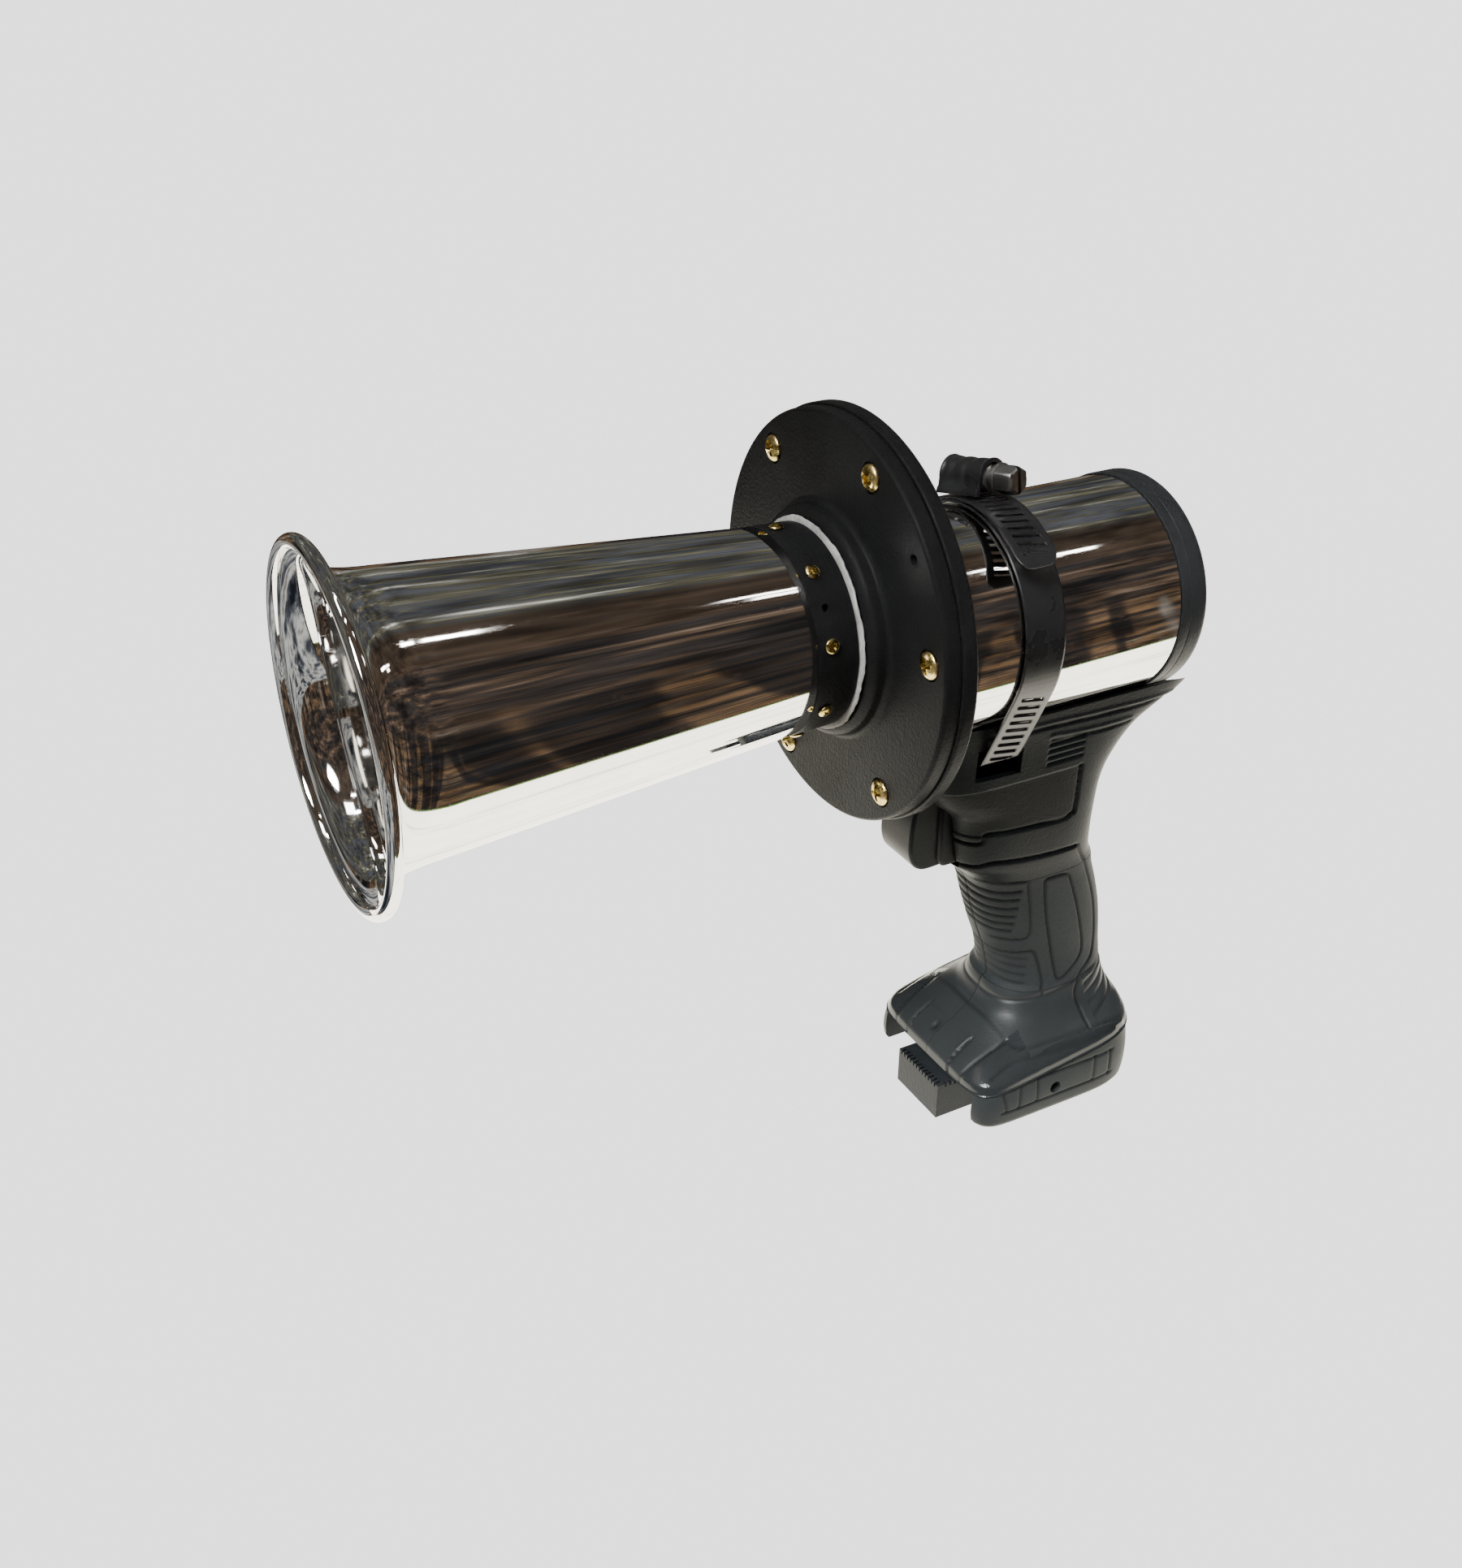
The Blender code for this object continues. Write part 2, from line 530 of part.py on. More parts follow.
# ---- pistol handle -------------------------------------------------------------------------
# Each row: height, half width, front, rear, squareness (front and rear where they differ).
# The foot's rows end in their tilt, because the hood slopes down to the front.
SEAM_TILT = 0.14
FOOT_ROWS = [(24.4, 33.8, -33.2, 38.4, (7.0, 4.2), SEAM_TILT), (27.0, 33.4, -33.0, 38.3, (6.0, 4.0), SEAM_TILT),
             (30.2, 30.8, -30.0, 38.0, (4.6, 3.6), 0.13), (34.0, 25.8, -22.4, 37.2, (3.8, 3.2), 0.10),
             (39.4, 21.2, -14.4, 36.2, (3.0, 2.9), 0.05)]
GRIP_ROWS = [(48.0, 18.2, -10.0, 35.0, 2.6), (58.0, 17.2, -12.0, 34.2, 2.5),
             (69.0, 17.4, -16.0, 32.8, 2.5), (80.0, 17.8, -19.6, 30.0, 2.5),
             (90.0, 18.2, -22.4, 26.4, 2.6)]
HEAD_ROWS = [(98.0, 19.2, -28.0, 23.0, 2.9), (104.0, 20.2, -35.0, 21.2, 3.3),
             (114.0, 21.0, -37.0, 20.0, 3.8), (124.0, 21.4, -39.0, 20.4, 4.0),
             (131.0, 21.6, -46.0, 22.2, 4.2), (138.0, 21.8, -49.5, 26.0, 4.4),
             (146.0, 22.2, -50.0, 32.8, 4.6), (152.0, 22.8, -50.0, 41.6, 5.0),
             (157.0, 23.6, -50.0, 49.4, 5.5), (161.0, 24.2, -49.5, 52.0, 6.0)]
SLEEVE_LOW, SLEEVE_HIGH = 46.0, 95.0
SLEEVE_START = (SLEEVE_LOW, 18.8, -11.4, 35.6, 2.6)
SLEEVE_STOP = (SLEEVE_HIGH, 18.7, -25.6, 24.8, 2.8)


def inset(row, amount):
    z, half_width, front, rear, power = row[:5]
    tilt = row[5] if len(row) > 5 else 0.0
    return oval(z, half_width - amount, front + amount, rear - amount, power, tilt)


def handle_body(name, mat):
    """Outside of both halves, waisted where the rubber sleeve sits."""
    waist = RUBBER + 2 * GAP
    rows = [inset(r, 0.0) for r in FOOT_ROWS]
    start = (SLEEVE_LOW - GAP, *SLEEVE_START[1:])
    stop = (SLEEVE_HIGH + GAP, *SLEEVE_STOP[1:])
    rows += [inset(start, 0.0), inset(start, waist)]
    rows += [inset(r, waist) for r in GRIP_ROWS]
    rows += [inset(stop, waist), inset(stop, 0.0)]
    rows += [inset(r, 0.0) for r in HEAD_ROWS]
    return loft(name, rows, mat)


def handle_room():
    """Hollow inside the halves, open at the foot."""
    deep = RUBBER + GAP + SHELL
    rows = [oval(16.0, 22.0, -12.0, 31.0, 4.0), oval(30.0, 22.0, -12.0, 31.0, 4.0),
            oval(41.0, 14.0, -6.0, 29.0, 3.0)]
    rows += [inset(r, deep) for r in GRIP_ROWS]
    rows += [inset(r, SHELL) for r in HEAD_ROWS[:6]]
    rows.append(oval(149.6, 19.0, -47.0, 30.0, 4.4))
    return loft("cut_room", rows, None, CUTTERS)


def handle_half(name, side, cutters):
    half = handle_body(name, SHELL_PLASTIC)
    boolean(half, cutters["room"])
    if side > 0:
        for label, y, z, reach in HANDLE_SCREWS:
            boss = rod(f"boss_{label}", (GAP, y, z), (reach, y, z), 3.6, None, 10, CUTTERS)
            boolean(half, boss, 'UNION')
            bore = rod(f"bore_{label}", (-1.0, y, z), (9.0, y, z), 1.8, None, 8, CUTTERS)
            boolean(half, bore)
    else:
        for label, y, z, reach in HANDLE_SCREWS:
            boss = rod(f"post_{label}", (-GAP, y, z), (-reach, y, z), 4.6, None, 10, CUTTERS)
            boolean(half, boss, 'UNION')
            bore = rod(f"passage_{label}", (1.0, y, z), (-12.0, y, z), 1.8, None, 8, CUTTERS)
            boolean(half, bore)
            well = rod(f"well_{label}", (-8.3, y, z), (-40.0, y, z), 3.2, None, 10, CUTTERS)
            boolean(half, well)
    for key in ("can", "cap", "channel", "trigger", "slot", "lead"):
        boolean(half, cutters[key])
    boolean(half, cutters["left" if side > 0 else "right"], 'INTERSECT')
    return half


def handle():
    cutters = {
        "room": handle_room(),
        "can": rod("cut_cradle", (0, -90, CAN_Z), (0, 90, CAN_Z), CAN_R + 0.5, None, 56, CUTTERS),
        "cap": rod("cut_cap_seat", (0, CAN_REAR_Y - 0.4, CAN_Z), (0, 90, CAN_Z), CAN_R + 1.1, None, 56, CUTTERS),
        "channel": box("cut_channel", (-27.0, -60, -5), (27.0, 32.4, 17.6), None, CUTTERS),
        "trigger": box("cut_trigger", (-11.0, -60, 103.6), (11.0, -18, 133.4), None, CUTTERS),
        "slot": box("cut_band_slot", (-40, SLOT_Y - 8.4, 141.0), (40, SLOT_Y + 8.4, 152.6), None, CUTTERS),
        "lead": rod("cut_lead", (0, -2, 140), (0, -2, 160), 3.0, None, 12, CUTTERS),
        "left": box("cut_left", (GAP / 2, -90, -10), (60, 90, 200), None, CUTTERS),
        "right": box("cut_right", (-60, -90, -10), (-GAP / 2, 90, 200), None, CUTTERS),
    }
    handle_half("handle_left", 1, cutters)
    handle_half("handle_right", -1, cutters)


def grip_sleeve():
    """Rubber overmould round the grip."""
    rows = [SLEEVE_START] + GRIP_ROWS + [SLEEVE_STOP]
    sleeve = loft("grip_sleeve", [inset(r, 0.0) for r in rows], GRIP_RUBBER)
    first, last = list(rows[0]), list(rows[-1])
    first[0] -= 1.0
    last[0] += 1.0
    core = loft("cut_sleeve", [inset(r, RUBBER) for r in [first] + GRIP_ROWS + [last]], None, CUTTERS)
    boolean(sleeve, core)
    _, y, z, _ = next(row for row in HANDLE_SCREWS if row[0] == "grip")
    boolean(sleeve, rod("cut_sleeve_well", (-10.0, y, z), (-30.0, y, z), 3.2, None, 10, CUTTERS))
    return sleeve


def foot_rail(name, side):
    """Side skirt of the foot: battery rail inside, grooved panel outside."""
    rows = [oval(7.0, 33.2, -31.4, 36.6, (9.0, 4.4)), oval(8.4, 34.2, -32.6, 37.8, (9.0, 4.4)),
            oval(16.0, 34.6, -33.2, 38.6, (8.0, 4.4), 0.05),
            oval(24.0, 33.8, -33.2, 38.4, (7.0, 4.2), SEAM_TILT)]
    rail = loft(name, rows, SHELL_PLASTIC)
    boolean(rail, box(f"cut_{name}_channel", (-27.0, -60, -5), (27.0, 32.4, 40), None, CUTTERS))
    low, high = sorted((side * GAP / 2, side * 60))
    boolean(rail, box(f"cut_{name}_side", (low, -90, -5), (high, 90, 60), None, CUTTERS), 'INTERSECT')
    if side > 0:
        hole = rod(f"cut_{name}_hole", (30.6, -1.6, 16.3), (40.0, -1.6, 16.3), 2.2, None, 12, CUTTERS)
        boolean(rail, hole)
    return rail


def handle_screws():
    for label, y, z, _ in HANDLE_SCREWS:
        pan_screw(f"handle_screw_{label}", (-8.6, y, z), (-1, 0, 0), 2.9, 1.8, 1.45, 15.0)


def trigger():
    outline = [(-28.0, 132.6), (-48.4, 132.6), (-50.6, 127.0), (-51.8, 119.0), (-51.6, 112.4),
               (-49.6, 107.2), (-45.4, 104.8), (-28.0, 104.8)]
    obj = plate("trigger", outline, -10.4, 10.4, TRIGGER_PLASTIC)
    bevel(obj, 3.2, 3, 30.0)
    return obj


def trigger_spring():
    turns, radius, start, end = 5, 3.0, -27.2, -6.0
    curve = bpy.data.curves.new("trigger_spring", 'CURVE')
    curve.dimensions = '3D'
    curve.bevel_depth = mm(0.45)
    curve.bevel_resolution = 1
    curve.use_fill_caps = True
    spline = curve.splines.new('POLY')
    count = turns * 9
    spline.points.add(count)
    for i, point in enumerate(spline.points):
        angle = 2 * math.pi * turns * i / count
        place = mm(radius * math.cos(angle), start + (end - start) * i / count,
                   118.0 + radius * math.sin(angle))
        point.co = (*place, 1.0)
    curve.materials.append(STEEL)
    obj = bpy.data.objects.new("trigger_spring", curve)
    PARTS.objects.link(obj)
    return obj


def switch_body():
    body = box("switch_body", (-9.5, -13.0, 104.0), (9.5, 12.0, 130.0), TERMINAL_PLASTIC)
    boolean(body, rod("cut_spring_pocket", (0, -20, 118), (0, 4, 118), 4.2, None, 16, CUTTERS))
    return body


def terminal_block():
    """Contact block that the battery slides on to."""
    block = box("terminal_block", (-12.3, -36.0, 0.0), (12.3, 14.0, 14.0), TERMINAL_PLASTIC)
    bevel(block, 0.8, 2, 30.0)
    boolean(block, box("cut_terminal_stem", (-9.0, -10.0, 13.0), (9.0, 12.0, 27.0), None, CUTTERS), 'UNION')
    return block


def leads():
    for name, x, mat in (("battery_lead_positive", 4.0, LEAD_RED), ("battery_lead_negative", -4.0, LEAD_BLACK)):
        wire(name, [(x, 4, 28.2), (x, 8, 36), (x, 16, 49), (1.2 * x, 20, 62), (1.2 * x, 16, 77),
                    (1.2 * x, 8, 91), (1.2 * x, 4, 102.8)], 1.3, mat)
    wire("motor_lead", [(0, 2, 131.4), (0, 0, 136), (0, -2, 143), (0, -2, 150), (0, -2, 158)],
         1.6, LEAD_RED)


trumpet()
neck_collar()
neck_screws()
seal_bead()
diaphragm_cover()
neck_spigot()
cover_screws()
diaphragm_stack()
diaphragm_housing()
motor_can()
motor_end_cap()
magnet("magnet_left", 1)
magnet("magnet_right", -1)
armature()
motor_supports()
clamp_band()
clamp_housing()
clamp_screw()
handle()
grip_sleeve()
foot_rail("foot_rail_left", 1)
foot_rail("foot_rail_right", -1)
handle_screws()
trigger()
trigger_spring()
switch_body()
terminal_block()
leads()
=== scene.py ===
"""Looks of the hand-held motor horn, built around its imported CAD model. Metres, row frame."""

import json
import math

import bmesh
import bpy
import numpy as np
from mathutils import Matrix, Vector


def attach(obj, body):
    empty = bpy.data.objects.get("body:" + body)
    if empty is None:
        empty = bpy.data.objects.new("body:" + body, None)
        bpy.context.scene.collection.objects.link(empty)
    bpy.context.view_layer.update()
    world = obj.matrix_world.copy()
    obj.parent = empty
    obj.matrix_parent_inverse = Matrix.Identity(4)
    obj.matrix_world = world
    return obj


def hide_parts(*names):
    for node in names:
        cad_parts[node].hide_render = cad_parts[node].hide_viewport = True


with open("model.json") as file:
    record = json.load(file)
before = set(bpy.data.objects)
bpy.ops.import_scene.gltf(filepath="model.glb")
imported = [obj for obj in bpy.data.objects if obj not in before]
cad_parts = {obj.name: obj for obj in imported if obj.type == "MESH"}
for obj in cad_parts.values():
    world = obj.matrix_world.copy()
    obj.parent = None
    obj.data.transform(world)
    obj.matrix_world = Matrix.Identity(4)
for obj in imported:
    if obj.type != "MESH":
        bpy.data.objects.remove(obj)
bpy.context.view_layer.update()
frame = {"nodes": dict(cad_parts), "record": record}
MM = 0.001


# ---- node helpers ----
class Nodes:
    """Small helper around one node tree."""

    def __init__(self, tree):
        self.tree = tree

    def add(self, kind, **settings):
        item = self.tree.nodes.new(kind)
        for key, value in settings.items():
            setattr(item, key, value)
        return item

    def link(self, source, target):
        self.tree.links.new(source, target)

    def noise(self, coords, scale, detail=3.0, roughness=0.5, distortion=0.0):
        item = self.add("ShaderNodeTexNoise")
        item.inputs["Scale"].default_value = scale
        item.inputs["Detail"].default_value = detail
        item.inputs["Roughness"].default_value = roughness
        item.inputs["Distortion"].default_value = distortion
        self.link(coords, item.inputs["Vector"])
        return item.outputs["Fac"]

    def voronoi(self, coords, scale, feature='F1'):
        item = self.add("ShaderNodeTexVoronoi", feature=feature)
        item.inputs["Scale"].default_value = scale
        self.link(coords, item.inputs["Vector"])
        return item.outputs["Distance"]

    def stretch(self, coords, scale):
        item = self.add("ShaderNodeMapping")
        item.inputs["Scale"].default_value = scale
        self.link(coords, item.inputs["Vector"])
        return item.outputs["Vector"]

    def remap(self, value, low, high, to_low, to_high):
        item = self.add("ShaderNodeMapRange")
        item.inputs["From Min"].default_value = low
        item.inputs["From Max"].default_value = high
        item.inputs["To Min"].default_value = to_low
        item.inputs["To Max"].default_value = to_high
        self.link(value, item.inputs["Value"])
        return item.outputs["Result"]

    def ramp(self, value, stops, interpolation='LINEAR'):
        item = self.add("ShaderNodeValToRGB")
        item.color_ramp.interpolation = interpolation
        elements = item.color_ramp.elements
        while len(elements) < len(stops):
            elements.new(0.5)
        for element, (place, colour) in zip(elements, stops):
            element.position = place
            element.color = (*colour, 1.0)
        self.link(value, item.inputs["Fac"])
        return item.outputs["Color"]

    def math(self, operation, a, b=None):
        item = self.add("ShaderNodeMath", operation=operation)
        for socket, value in zip(item.inputs, (a, b)):
            if value is None:
                continue
            if isinstance(value, (int, float)):
                socket.default_value = value
            else:
                self.link(value, socket)
        return item.outputs[0]

    def mix(self, factor, a, b, blend='MIX'):
        item = self.add("ShaderNodeMix", data_type='RGBA', blend_type=blend)
        for socket, value in ((item.inputs[0], factor), (item.inputs[6], a), (item.inputs[7], b)):
            if isinstance(value, (int, float)):
                socket.default_value = value
            elif isinstance(value, tuple):
                socket.default_value = (*value, 1.0)
            else:
                self.link(value, socket)
        return item.outputs[2]

    def bump(self, height, strength, distance, normal=None):
        item = self.add("ShaderNodeBump")
        item.inputs["Strength"].default_value = strength
        item.inputs["Distance"].default_value = distance
        self.link(height, item.inputs["Height"])
        if normal is not None:
            self.link(normal, item.inputs["Normal"])
        return item.outputs["Normal"]


def new_material(name, metallic=0.0):
    mat = bpy.data.materials.new(name)
    mat.use_nodes = True
    n = Nodes(mat.node_tree)
    shader = mat.node_tree.nodes["Principled BSDF"]
    shader.inputs["Metallic"].default_value = metallic
    coords = n.add("ShaderNodeTexCoord").outputs["Object"]
    return mat, n, shader, coords


def chrome_material():
    mat, n, shader, coords = new_material("chrome_plate", 1.0)
    haze = n.noise(coords, 55.0, 5.0, 0.6)
    scuff = n.noise(n.stretch(coords, (260.0, 90.0, 260.0)), 1.0, 6.0, 0.75)
    scuffed = n.remap(scuff, 0.62, 0.78, 0.0, 0.22)
    n.link(n.math('ADD', n.remap(haze, 0.35, 0.75, 0.025, 0.075), scuffed), shader.inputs["Roughness"])
    n.link(n.ramp(haze, [(0.3, (0.80, 0.79, 0.77)), (0.7, (0.73, 0.72, 0.71))]),
           shader.inputs["Base Color"])
    wave = n.noise(n.stretch(coords, (30.0, 9.0, 30.0)), 1.0, 2.0)
    n.link(n.bump(wave, 0.12, 0.0012), shader.inputs["Normal"])
    return mat


def moulded(name, dark, light, rough, grain_scale, grain_depth, patch=30.0, rough_span=0.12, gloss=0.22):
    """Moulded plastic or rubber: fine grain, soft patches of tone, and dust in the tone."""
    mat, n, shader, coords = new_material(name)
    patches = n.noise(coords, patch, 4.0, 0.6)
    grain = n.noise(coords, grain_scale, 2.0, 0.6)
    tone = n.math('ADD', n.math('MULTIPLY', patches, 0.75), n.math('MULTIPLY', grain, 0.25))
    colour = n.ramp(tone, [(0.32, dark), (0.68, light)])
    # The 'line' attribute darkens the colour towards a quarter of the dark tone: painted shade in the
    # moulded grooves, plus the darker seam and head panel.
    line = n.add("ShaderNodeAttribute", attribute_name="line").outputs["Fac"]
    shade = tuple(0.25 * c for c in dark)
    n.link(n.mix(n.math('MULTIPLY', line, 0.8), colour, shade), shader.inputs["Base Color"])
    polish = n.add("ShaderNodeAttribute", attribute_name="polish").outputs["Fac"]
    n.link(n.math('SUBTRACT', n.remap(patches, 0.3, 0.7, rough - rough_span / 2, rough + rough_span / 2),
                  n.math('MULTIPLY', polish, 0.27)), shader.inputs["Roughness"])
    shader.inputs["Specular IOR Level"].default_value = gloss
    cells = n.voronoi(coords, grain_scale * 0.6)
    height = n.math('ADD', grain, n.math('MULTIPLY', cells, 0.6))
    n.link(n.bump(height, grain_depth, 0.0004), shader.inputs["Normal"])
    return mat


def metal(name, dark, light, rough, grain=(300.0, 300.0, 300.0), depth=0.08, scale=60.0, rough_span=0.15):
    """Plain metal with stained tone and directional fine scratches."""
    mat, n, shader, coords = new_material(name, 1.0)
    stain = n.noise(coords, scale, 4.0, 0.6)
    lines = n.noise(n.stretch(coords, grain), 1.0, 3.0, 0.6)
    n.link(n.ramp(stain, [(0.3, dark), (0.7, light)]), shader.inputs["Base Color"])
    spread = n.math('ADD', n.math('MULTIPLY', stain, 0.5), n.math('MULTIPLY', lines, 0.5))
    n.link(n.remap(spread, 0.3, 0.7, rough - rough_span / 2, rough + rough_span / 2),
           shader.inputs["Roughness"])
    n.link(n.bump(lines, depth, 0.0002), shader.inputs["Normal"])
    return mat


def brass_material():
    """Yellow-passivated zinc: gold with green and rosy bloom."""
    mat, n, shader, coords = new_material("yellow_zinc", 1.0)
    bloom = n.noise(coords, 420.0, 3.0, 0.6, 0.5)
    n.link(n.ramp(bloom, [(0.28, (0.26, 0.25, 0.08)), (0.45, (0.56, 0.43, 0.13)), (0.58,
            (0.72, 0.58, 0.24)),
                          (0.75, (0.50, 0.28, 0.15))]), shader.inputs["Base Color"])
    n.link(n.remap(bloom, 0.3, 0.7, 0.16, 0.34), shader.inputs["Roughness"])
    n.link(n.bump(n.noise(coords, 1500.0, 2.0), 0.15, 0.0002), shader.inputs["Normal"])
    return mat


MATS = {
    "chrome": chrome_material(),
    "black_cast": moulded("black_cast", (0.008, 0.008, 0.0085), (0.017, 0.0175, 0.018), 0.38, 1500.0, 0.25,
                          gloss=0.04),
    "sealant": moulded("sealant", (0.26, 0.26, 0.25), (0.62, 0.62, 0.59), 0.5, 700.0, 0.3, 120.0),
    "brass": brass_material(),
    "steel": metal("steel", (0.42, 0.42, 0.43), (0.60, 0.60, 0.60), 0.32),
    "copper": metal("copper", (0.55, 0.24, 0.12), (0.80, 0.42, 0.22), 0.35, (900.0, 60.0, 900.0), 0.3),
    "ferrite": moulded("ferrite", (0.03, 0.03, 0.033), (0.07, 0.07, 0.075), 0.7, 900.0, 0.3),
    "carbon": moulded("carbon", (0.012, 0.012, 0.012), (0.03, 0.03, 0.03), 0.6, 1200.0, 0.2),
    "band_steel": moulded("blackened_steel", (0.013, 0.013, 0.014), (0.026, 0.026, 0.027), 0.30, 1900.0,
                          0.06, 90.0, gloss=0.40),
    "shell_plastic": moulded("shell_plastic", (0.014, 0.0175, 0.019), (0.025, 0.030, 0.032), 0.42, 1700.0,
                             0.22, gloss=0.07),
    "grip_rubber": moulded("grip_rubber", (0.030, 0.036, 0.039), (0.050, 0.057, 0.060), 0.62, 1300.0, 0.3,
                           gloss=0.14),
    "trigger_plastic": moulded("trigger_plastic", (0.016, 0.019, 0.021), (0.026, 0.030, 0.032), 0.34,
                               1500.0, 0.08, gloss=0.09),
    "terminal_plastic": moulded("terminal_plastic", (0.018, 0.021, 0.024), (0.036, 0.041, 0.045), 0.5,
                                1100.0, 0.2, gloss=0.12),
    "lead_red": moulded("lead_red", (0.30, 0.012, 0.012), (0.48, 0.03, 0.03), 0.45, 900.0, 0.1),
    "lead_black": moulded("lead_black", (0.012, 0.012, 0.012), (0.025, 0.025, 0.025), 0.45, 900.0, 0.1),
}
# Painted light: a lighter copy of black_cast for the motor end cap, standing in for the light that falls on
# its rear side.
MATS["cap_cast_painted_light"] = moulded("cap_cast_painted_light", (0.026, 0.028, 0.030), (0.044, 0.047, 0.050), 0.38, 1500.0, 0.22,
                           gloss=0.12)
MATS["shell_foot"] = moulded("shell_foot", (0.027, 0.031, 0.033), (0.035, 0.040, 0.043), 0.42, 1700.0, 0.12,
                             gloss=0.30, rough_span=0.03)
MATS["shell_rail"] = moulded("shell_rail", (0.030, 0.035, 0.037), (0.046, 0.053, 0.056), 0.45, 1700.0, 0.14,
                             gloss=0.08)
MATS["worm_steel"] = metal("worm_steel", (0.22, 0.22, 0.22), (0.42, 0.42, 0.41), 0.34)
SLOT_OF = {s["node"]: s["material_slot"] for s in frame["record"]["subparts"]}
for node, obj in frame["nodes"].items():
    obj.data.materials.clear()
    obj.data.materials.append(MATS[SLOT_OF[node]])

# ---- shape helpers ----
TRUMPET_X, TRUMPET_Z = -3.7, 196.0
CAN_Z, CAN_R = 188.4, 35.0


def put(name, verts, faces, slot, nodes=(), body="body", sharp=35.0, mat=None):
    """Mesh piece from millimetre points; it rides on a CAD body and may stand for CAD nodes."""
    mesh = bpy.data.meshes.new(name)
    mesh.from_pydata([tuple(c * MM for c in v) for v in verts], [],
                     [tuple(int(i) for i in f) for f in faces])
    mesh.validate()
    return finish_piece(name, mesh, slot, nodes, body, sharp, mat)


def add_object(name, data):
    obj = bpy.data.objects.new(name, data)
    bpy.context.scene.collection.objects.link(obj)
    return obj


def finish_piece(name, mesh, slot, nodes=(), body="body", sharp=35.0, mat=None):
    mesh.materials.clear()
    mesh.materials.append(mat or MATS[slot])
    mesh.shade_smooth()
    mesh.set_sharp_from_angle(angle=math.radians(sharp))
    obj = add_object(name, mesh)
    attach(obj, body)
    if nodes:
        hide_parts(*nodes)
    return obj


def turned(profile, axis, steps=144, wobble=None):
    """Closed (y, radius) profile turned about a line along Y: points and faces."""
    area = sum(a[0] * b[1] - b[0] * a[1] for a, b in zip(profile, profile[1:] + profile[:1]))
    if area > 0:
        profile = profile[::-1]
    rows, verts, faces = [], [], []
    for y, r in profile:
        if r < 1e-6:
            rows.append([len(verts)] * steps)
            verts.append((axis[0], y, axis[1]))
            continue
        rows.append(list(range(len(verts), len(verts) + steps)))
        for k in range(steps):
            a = 2 * math.pi * k / steps
            yy, rr = wobble(y, r, a) if wobble else (y, r)
            verts.append((axis[0] + rr * math.cos(a), yy, axis[1] + rr * math.sin(a)))
    for low, high in zip(rows, rows[1:] + rows[:1]):
        if low[0] == low[1] and high[0] == high[1]:
            continue
        for k in range(steps):
            j = (k + 1) % steps
            ring = [low[k], high[k], high[j], low[j]]
            face = [v for n, v in enumerate(ring) if v not in ring[:n]]
            faces.append(face)
    return verts, faces


def rounded(points, radius, segments=4):
    """Fillet the corners of a closed profile; a point may carry its own radius as a third value."""
    out, count = [], len(points)
    for i, point in enumerate(points):
        here = Vector(point[:2])
        before, after = Vector(points[i - 1][:2]), Vector(points[(i + 1) % count][:2])
        r = point[2] if len(point) > 2 else radius
        reach = min(r, 0.45 * (before - here).length, 0.45 * (after - here).length)
        if reach < 0.02 or here.y < 1e-6:
            out.append(tuple(here))
            continue
        a = here + (before - here).normalized() * reach
        b = here + (after - here).normalized() * reach
        for k in range(segments + 1):
            t = k / segments
            out.append(tuple((1 - t) ** 2 * a + 2 * t * (1 - t) * here + t * t * b))
    return out


def mesh_of(name, verts, faces):
    mesh = bpy.data.meshes.new(name)
    mesh.from_pydata([tuple(c * MM for c in v) for v in verts], [],
                     [tuple(int(i) for i in f) for f in faces])
    mesh.validate()
    bm = bmesh.new()
    bm.from_mesh(mesh)
    bmesh.ops.recalc_face_normals(bm, faces=bm.faces)
    bm.to_mesh(mesh)
    bm.free()
    return mesh


def rod_mesh(name, start, end, radius, steps=32, tip=None):
    a, b = Vector(start) * MM, Vector(end) * MM
    bm = bmesh.new()
    turn = (b - a).to_track_quat('Z', 'Y').to_matrix().to_4x4()
    bmesh.ops.create_cone(bm, cap_ends=True, segments=steps, radius1=radius * MM,
                          radius2=(radius if tip is None else tip) * MM, depth=(b - a).length,
                          matrix=Matrix.Translation((a + b) / 2) @ turn)
    mesh = bpy.data.meshes.new(name)
    bm.to_mesh(mesh)
    bm.free()
    return mesh


def box_mesh(name, low, high):
    a, b = Vector(low) * MM, Vector(high) * MM
    bm = bmesh.new()
    bmesh.ops.create_cube(bm, size=1.0, matrix=Matrix.Translation((a + b) / 2) @ Matrix.Diagonal((*(b - a),
            1.0)))
    mesh = bpy.data.meshes.new(name)
    bm.to_mesh(mesh)
    bm.free()
    return mesh


def cut(mesh, others, operation='DIFFERENCE', solver='MANIFOLD'):
    """The mesh with each other mesh taken off it, or kept in common."""
    base = add_object("work", mesh)
    helpers = []
    for other in others:
        tool = add_object("tool", other)
        helpers.append(tool)
        mod = base.modifiers.new("cut", 'BOOLEAN')
        mod.operation = operation
        mod.object = tool
        mod.solver = solver
    bpy.context.view_layer.update()
    result = bpy.data.meshes.new_from_object(base.evaluated_get(bpy.context.evaluated_depsgraph_get()))
    for item in (base, *helpers):
        bpy.data.objects.remove(item, do_unlink=True)
    return result


def tube_faces(rows, ring):
    """Faces of a capped tube whose points run ring by ring."""
    faces = [(i * ring + k, i * ring + (k + 1) % ring, (i + 1) * ring + (k + 1) % ring, (i + 1) * ring + k)
             for i in range(rows - 1) for k in range(ring)]
    return faces + [tuple(range(ring))[::-1], tuple(range((rows - 1) * ring, rows * ring))]


def around(axis, radius, degrees, y):
    a = math.radians(degrees)
    return (axis[0] + radius * math.cos(a), y, axis[1] + radius * math.sin(a))


T_AXIS, M_AXIS = (TRUMPET_X, TRUMPET_Z), (0.0, CAN_Z)
COVER_SCREWS = [7.5 + 60 * i for i in range(6)]
NECK_SCREWS = [13 + 40 * i for i in range(9)]

